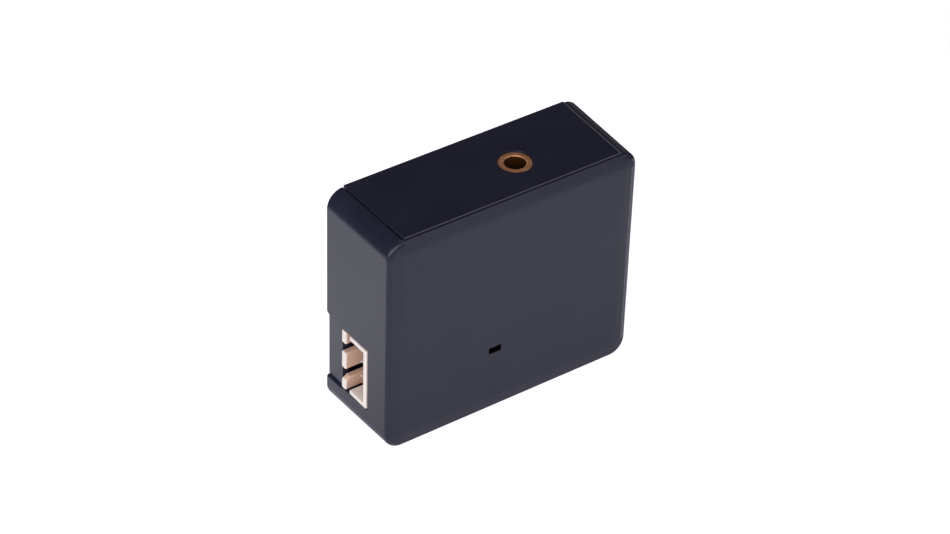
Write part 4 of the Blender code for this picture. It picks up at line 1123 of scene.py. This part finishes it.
def at_end(place):
    return place.z < INNER_LOW or place.z > INNER_HIGH


def in_wall(place):
    return place.y < INNER_NEAR_Y or place.y > INNER_FAR_Y or at_end(place)


def beside_keys(place):
    """Whether a cell belongs to a wall, and not to a slot for a key."""
    from_slot = abs(abs(place.z - HEADER_MIDDLE) - KEY_SLOT_SPACING / 2)
    in_key_slot = place.y > INNER_FAR_Y and from_slot < KEY_SLOT_WIDTH / 2
    return in_wall(place) and not in_key_slot


def at_mouth(place):
    """Whether a cell belongs to a wall, and to no slot."""
    in_end_slot = at_end(place) and END_SLOT_Y < place.y < INNER_FAR_Y
    return beside_keys(place) and not in_end_slot


HEADER_STAGES = [
    (HEADER_BACK_X - BACK_WALL, lambda place: True),
    (MOUTH_X + KEY_SLOT_LENGTH, in_wall),
    (MOUTH_X + END_SLOT_LENGTH, beside_keys),
    (MOUTH_X, at_mouth),
]


def grow_header(shape):
    level = HEADER_BACK_X
    for end, keep in HEADER_STAGES:
        ahead = [f for f in shape.faces if all(abs(v.co.x - level) < SAME_PLACE for v in f.verts)]
        push_out(shape, [f for f in ahead if keep(f.calc_center_median())], (end - level, 0.0, 0.0))
        level = end
    bmesh.ops.recalc_face_normals(shape, faces=shape.faces)
    bmesh.ops.dissolve_limit(shape, angle_limit=SAME_PLANE, verts=shape.verts[:], edges=shape.edges[:])


grow_header(header)
print("header has", len(header.faces), "faces")

# %% [markdown]
# ## Foot, lead-in and edges of the header
# The header stands on the board with a foot under its near wall, and one corner at its mouth is cut away to
# guide the plug in. The foot could be a piece of its own, but the header already has the faces and edges
# for both: part of the near wall is pushed out, and the corner's edge is bevelled in one step.

# %% Header foot, lead-in and edges
FOOT_BEHIND_WALL = 0.6 * MM
FOOT_X = -FRONT_HALF_WIDTH + SHELL_WALL + FOOT_BEHIND_WALL
KEY_LEAD_LENGTH = 0.95 * MM
KEY_LEAD_HEIGHT = 0.7 * MM
HEADER_EASE = 0.18 * MM
HEADER_EASE_STEPS = 3


def near_wall(shape):
    return [f for f in shape.faces if all(v.co.y < HEADER_NEAR_Y + SAME_PLACE for v in f.verts)]


def add_foot(shape):
    """The foot under the near wall, which stands on the board."""
    cut_at(shape, near_wall(shape), X, FOOT_X)
    under = [f for f in near_wall(shape) if f.calc_center_median().x > FOOT_X]
    push_out(shape, under, (0.0, header_low.y - HEADER_NEAR_Y, 0.0))


def add_lead_in(shape):
    """Cuts the corner of the lowest far block, which guides the plug in."""
    top = HEADER_MIDDLE - KEY_SLOT_SPACING / 2 - KEY_SLOT_WIDTH / 2

    def at_corner(place):
        return abs(place.x - MOUTH_X) < SAME_PLACE and abs(place.z - top) < SAME_PLACE

    for vertex in round_off(shape, edges_where(shape.edges, at_corner), KEY_LEAD_HEIGHT, 1)["verts"]:
        if vertex.co.x > MOUTH_X + SAME_PLACE:
            vertex.co.x = MOUTH_X + KEY_LEAD_LENGTH


add_foot(header)
add_lead_in(header)
bmesh.ops.recalc_face_normals(header, faces=header.faces)
round_off(header, outer_edges(header, SLIGHT_TURN), HEADER_EASE, HEADER_EASE_STEPS)
print("header has", len(header.faces), "faces with its foot and edges")

# %% [markdown]
# ## Cream nylon
# Nylon lets some light in, so the finish has a little subsurface scattering. The rim of the mouth keeps the
# pale colour, and behind it the colour passes to a darker, warm tone, which is painted shade inside the
# socket. The inside of the lower end gets the palest colour, which is painted light. The rim is a place
# along X, and the lower end is marked on its faces.

# %% Header finish
PALE_RIM = 0.2 * MM
RIM_NYLON_DARK = (0.93, 0.82, 0.79)
RIM_NYLON_LIGHT = (0.97, 0.88, 0.85)
# Painted shade: a darker, warm nylon colour for the inside of the socket, behind the rim
PAINTED_SHADE_NYLON = (0.75, 0.51, 0.40)
# Painted light: the palest nylon colour, on the inside of the lower end wall
PAINTED_LIGHT_END = "painted_light_end"
PAINTED_LIGHT_NYLON = (1.0, 0.90, 0.86)
NYLON_DEPTH = (1.2 * MM, 0.8 * MM, 0.5 * MM)


def on_painted_light_end(normal, middle):
    """Whether a face is on the inside of the lower end wall, which catches the most light and gets painted
    light.
    """
    inside = INNER_NEAR_Y < middle.y < header_high.y and middle.x < HEADER_BACK_X - BACK_WALL
    return inside and normal.z > FACING and middle.z < INNER_LOW + SAME_PLACE


def cream_nylon():
    finish = Finish("cream_nylon")
    grain = finish.noise(width=0.09 * MM, detail=2.0)
    finish.colour(finish.noise(width=2.5 * MM), RIM_NYLON_DARK, RIM_NYLON_LIGHT)
    # Painted shade inside the socket, beyond the pale rim
    finish.along_x(MOUTH_X + PALE_RIM, MOUTH_X + 2 * PALE_RIM, PAINTED_SHADE_NYLON)
    # Painted light on the inside of the lower end wall
    finish.where_marked(PAINTED_LIGHT_END, PAINTED_LIGHT_NYLON)
    finish.roughness(grain, low=0.42, high=0.52)
    finish.bump(grain, height=0.003 * MM)
    finish.even(Subsurface_Weight=0.15, Subsurface_Radius=NYLON_DEPTH)
    return finish.material


header.faces.layers.float.new(PAINTED_LIGHT_END)
header.normal_update()
mark_faces(header, faces_where(header, on_painted_light_end), PAINTED_LIGHT_END)
place_piece("plug_header_moulding", header, cream_nylon(), "header_nylon", "plug_header")

# %% [markdown]
# ## Header pins
# Three square tin-plated pins run through the header's back wall and bend towards the board. Their tips are
# tapered, so that the plug's contacts slide onto them. Each starts as one square at the tip, which is
# extruded along the pin, and its tail is extruded from there into the board.

# %% Header pins
PIN_NUMBERS = (1, 2, 3)
PIN_TAPER = 0.6 * MM
PIN_TIP_SHARE = 0.45
PIN_EASE = 0.05 * MM


def tin_plate():
    finish = Finish("tin_plate")
    streaks = finish.noise(width=0.12 * MM, stretch=(0.15, 1.0, 1.0))
    finish.colour(streaks, dark=(0.84, 0.82, 0.78), light=(0.95, 0.93, 0.90))
    finish.roughness(streaks, low=0.22, high=0.36)
    finish.bump(streaks, height=0.002 * MM)
    finish.even(Metallic=0.7)
    return finish.material


def header_pin(low, high):
    side = high.z - low.z
    bend_x = high.x - side
    shape = bmesh.new()
    corners = [(high.y - side, low.z), (high.y, low.z), (high.y, high.z), (high.y - side, high.z)]
    shape.faces.new([shape.verts.new((low.x, y, z)) for y, z in corners])
    push_out(shape, shape.faces[:], (high.x - low.x, 0.0, 0.0))
    bmesh.ops.recalc_face_normals(shape, faces=shape.faces)
    for place in (low.x + PIN_TAPER, bend_x):
        cut_at(shape, shape.faces[:], X, place)
    tail = faces_where(shape, lambda normal, middle: normal.y < -FACING and middle.x > bend_x)
    push_out(shape, tail, (0.0, low.y - high.y + side, 0.0))
    tip = [v for v in shape.verts if v.co.x < low.x + SAME_PLACE]
    centre = Vector((low.x, high.y - side / 2, (low.z + high.z) / 2))
    share = (1.0, PIN_TIP_SHARE, PIN_TIP_SHARE)
    bmesh.ops.scale(shape, vec=share, space=Matrix.Translation(-centre), verts=tip)
    round_off(shape, outer_edges(shape, SLIGHT_TURN), PIN_EASE, RIM_STEPS)
    return shape


tin = tin_plate()
for number in PIN_NUMBERS:
    pin_node = f"header_pin_{number}"
    place_piece(f"header_pin_bent_{number}", header_pin(*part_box(pin_node)), tin, "pin_tin", pin_node)

# %% [markdown]
# ## Jack barrel
# The barrel is turned from copper-toned brass: a ring with a bevel outside and a rounded lead-in to its
# bore, and a thinner stub below it that enters the jack's body. A turned piece is one profile spun round an
# axis. The wall of the bore gets a dark colour, which is painted shade deep in the hole, so its faces are
# marked.

# %% Jack barrel
JACK_BORE_RADIUS = 1.9 * MM
BARREL_STUB_RADIUS = 2.2 * MM
BARREL_STUB_LENGTH = 1.7 * MM
BARREL_BEVEL = 0.12 * MM
BARREL_EASE = 0.05 * MM
BORE_LEAD_IN = 0.2 * MM
LEAD_IN_STEPS = 6
QUARTER_TURN = math.radians(90.0)
BARREL_STEPS = 96
# Painted shade: faces on the wall of the bore, below the lead-in, get a dark colour
PAINTED_BORE_SHADE = "painted_bore_shade"


def barrel_profile():
    """Half of the barrel's section, as distances from its axis and heights."""
    top = barrel_high.z
    shoulder = barrel_low.z + BARREL_STUB_LENGTH
    profile = [
        (JACK_BORE_RADIUS, barrel_low.z),
        (BARREL_STUB_RADIUS, barrel_low.z),
        (BARREL_STUB_RADIUS, shoulder),
        (BARREL_RADIUS, shoulder),
        (BARREL_RADIUS, top - BARREL_BEVEL),
        (BARREL_RADIUS - BARREL_BEVEL, top),
    ]
    for step in range(LEAD_IN_STEPS + 1):
        turn = QUARTER_TURN * step / LEAD_IN_STEPS
        radius = JACK_BORE_RADIUS + BORE_LEAD_IN * (1.0 - math.sin(turn))
        profile.append((radius, top - BORE_LEAD_IN * (1.0 - math.cos(turn))))
    return profile


# Faces on the wall of the bore, which get painted shade
def painted_bore_shade(normal, middle):
    on_wall = (middle.xy - JACK_CENTRE).length < JACK_BORE_RADIUS + SAME_PLACE
    return on_wall and middle.z < barrel_high.z - BORE_LEAD_IN


def jack_barrel():
    shape = bmesh.new()
    shape.faces.layers.float.new(PAINTED_BORE_SHADE)
    points = [shape.verts.new((JACK_X + radius, JACK_Y, height)) for radius, height in barrel_profile()]
    edges = [shape.edges.new(pair) for pair in zip(points, points[1:] + points[:1])]
    bmesh.ops.spin(
        shape, geom=points + edges, cent=(JACK_X, JACK_Y, 0.0), axis=(0.0, 0.0, 1.0),
        angle=2 * math.pi, steps=BARREL_STEPS, use_merge=True,
    )
    bmesh.ops.remove_doubles(shape, verts=shape.verts[:], dist=SAME_PLACE)
    bmesh.ops.recalc_face_normals(shape, faces=shape.faces)
    round_off(shape, outer_edges(shape, SLIGHT_TURN), BARREL_EASE, RIM_STEPS)
    mark_faces(shape, faces_where(shape, painted_bore_shade), PAINTED_BORE_SHADE)
    return shape


barrel = jack_barrel()
print("barrel has", len(barrel.faces), "faces")

# %% [markdown]
# ## Turned brass
# A lathe leaves fine rings on its work, so the streaks in the roughness and the bump are long across and
# short in height. The tone drifts slowly round the ring, as on brass that has been handled.

# %% Jack barrel finish
# Painted shade for the wall of the bore
BORE_SHADE_COLOUR = (0.085, 0.028, 0.006)


def turned_brass():
    finish = Finish("turned_brass")
    streaks = finish.noise(width=0.05 * MM, stretch=(0.3, 0.3, 2.0))
    drift = finish.noise(width=1.2 * MM, detail=2.0)
    finish.colour(drift, dark=(0.56, 0.24, 0.112), light=(0.70, 0.315, 0.16))
    finish.roughness(streaks, low=0.22, high=0.32)
    finish.bump(streaks, height=0.002 * MM)
    finish.even(Metallic=0.5)
    # Painted shade on the wall of the bore
    finish.where_marked(PAINTED_BORE_SHADE, BORE_SHADE_COLOUR)
    return finish.material


place_piece("jack_barrel_turned", barrel, turned_brass(), "jack_brass", "jack_barrel")

# %% [markdown]
# ## Circuit boards
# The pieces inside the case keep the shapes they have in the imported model, and get finishes by name. A
# circuit board is glass cloth in resin under a coat of solder mask: the cloth's threads show as a faint
# square ripple half a millimetre apart, and the mask is paler where copper lies under it. Two crossed wave
# textures make the cloth. Areas of copper have borders that run straight or at 45 degrees, like the cells
# of a Voronoi texture whose distances are counted along the axes.

# %% Circuit boards
THREAD_SPACING = 0.5 * MM
WAVE_LENGTH = 0.314
THREAD_WANDER = 0.4
COPPER_AREA = 3.0 * MM
COPPER_LEVEL = 0.5


def dress(material, *names):
    """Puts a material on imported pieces."""
    for name in names:
        for place in nodes[name].material_slots:
            place.material = material
    print(material.name, "on", ", ".join(names))


def threads(finish, axis):
    """Waves across one axis, one for each thread. At a scale of 1 a wave is WAVE_LENGTH long."""
    scale = WAVE_LENGTH / THREAD_SPACING
    wave = finish.pattern("ShaderNodeTexWave", Scale=scale, Distortion=THREAD_WANDER)
    wave.bands_direction = axis
    return wave.outputs["Fac"]


def copper_areas(finish):
    """A level of its own for every area of copper."""
    cells = finish.pattern("ShaderNodeTexVoronoi", Scale=1.0 / COPPER_AREA)
    cells.distance = "MANHATTAN"
    return finish.pattern("ShaderNodeSeparateXYZ", cells.outputs["Color"]).outputs[0]


def solder_mask(name, over_resin, over_copper):
    finish = Finish(name)
    finish.colour(copper_areas(finish), over_resin, over_copper, end=COPPER_LEVEL)
    cloth = combine(finish.tree, "MULTIPLY", threads(finish, "X"), threads(finish, "Z"))
    finish.roughness(cloth, low=0.28, high=0.40)
    finish.bump(cloth, height=0.006 * MM)
    return finish.material


green_mask = solder_mask("green_solder_mask", (0.012, 0.085, 0.035), (0.025, 0.160, 0.065))
dress(green_mask, "circuit_board")
blue_mask = solder_mask("blue_solder_mask", (0.010, 0.022, 0.075), (0.020, 0.050, 0.150))
dress(blue_mask, "wireless_module_board")

# %% [markdown]
# ## Metal pieces inside
# Rolled, drawn and plated metals differ in their colour and in the direction of their fine lines. Noise
# that is stretched along one axis gives the lines, and the same noise spreads the roughness, so each line
# glints on its own.

# %% Metal pieces inside
LINE_WIDTH = 0.08 * MM
LINE_SPREAD = 0.07
ALONG_X = (0.1, 1.0, 1.0)
ALONG_Y = (1.0, 0.1, 1.0)
ALONG_Z = (1.0, 1.0, 0.1)
BOARD_SCREWS = [f"board_screw_{number}" for number in (1, 2, 3, 4)]
CAPACITOR_CANS = [f"capacitor_can_{number}" for number in (1, 2, 3, 4)]


def lined_metal(name, dark, light, lines, rough):
    finish = Finish(name)
    streaks = finish.noise(LINE_WIDTH, stretch=lines)
    finish.colour(streaks, dark, light)
    finish.roughness(streaks, low=rough - LINE_SPREAD, high=rough + LINE_SPREAD)
    finish.bump(streaks, height=0.002 * MM)
    finish.even(Metallic=1.0)
    return finish.material


zinc = lined_metal("zinc_plate", (0.46, 0.46, 0.48), (0.62, 0.62, 0.63), ALONG_Y, rough=0.33)
dress(zinc, *BOARD_SCREWS)
bronze = lined_metal("spring_bronze", (0.62, 0.40, 0.19), (0.76, 0.54, 0.29), ALONG_Z, rough=0.28)
dress(bronze, "jack_tip_contact", "jack_ring_contact")
dull_tin = lined_metal("dull_tin", (0.62, 0.60, 0.56), (0.76, 0.74, 0.70), ALONG_Z, rough=0.34)
dress(dull_tin, "jack_sleeve_terminal")
nickel = lined_metal("nickel_silver", (0.54, 0.53, 0.50), (0.66, 0.65, 0.62), ALONG_X, rough=0.30)
dress(nickel, "module_shield_can")
drawn_can = lined_metal("drawn_aluminium", (0.62, 0.62, 0.64), (0.76, 0.76, 0.77), ALONG_Y, rough=0.30)
dress(drawn_can, *CAPACITOR_CANS)

# %% [markdown]
# ## Black plastic and the light's lens
# The jack's body is satin black plastic, while chips and the feet of the capacitors are a duller black
# resin, full of fine mineral powder that shows as a grain. The light behind the slot has a clear lens,
# slightly cloudy inside.

# %% Black plastic and lens
RESIN_SPREAD = 0.06
CAPACITOR_FEET = [f"capacitor_base_{number}" for number in (1, 2, 3, 4)]


def black_resin(name, width, rough, height):
    finish = Finish(name)
    grain = finish.noise(width)
    finish.colour(grain, dark=(0.014, 0.014, 0.015), light=(0.026, 0.026, 0.028))
    finish.roughness(grain, low=rough - RESIN_SPREAD, high=rough + RESIN_SPREAD)
    finish.bump(grain, height)
    return finish.material


def cloudy_lens():
    finish = Finish("cloudy_lens")
    cloud = finish.noise(width=0.4 * MM)
    finish.colour(cloud, dark=(0.70, 0.71, 0.66), light=(0.80, 0.81, 0.75))
    finish.roughness(cloud, low=0.08, high=0.18)
    finish.bump(cloud, height=0.002 * MM)
    finish.even(Transmission_Weight=0.6, IOR=1.5)
    return finish.material


satin = black_resin("jack_body_plastic", width=0.15 * MM, rough=0.38, height=0.004 * MM)
dress(satin, "jack_housing")
powdered = black_resin("powdered_resin", width=0.06 * MM, rough=0.58, height=0.005 * MM)
dress(powdered, "audio_chip", "voltage_regulator", *CAPACITOR_FEET)
dress(cloudy_lens(), "status_light")
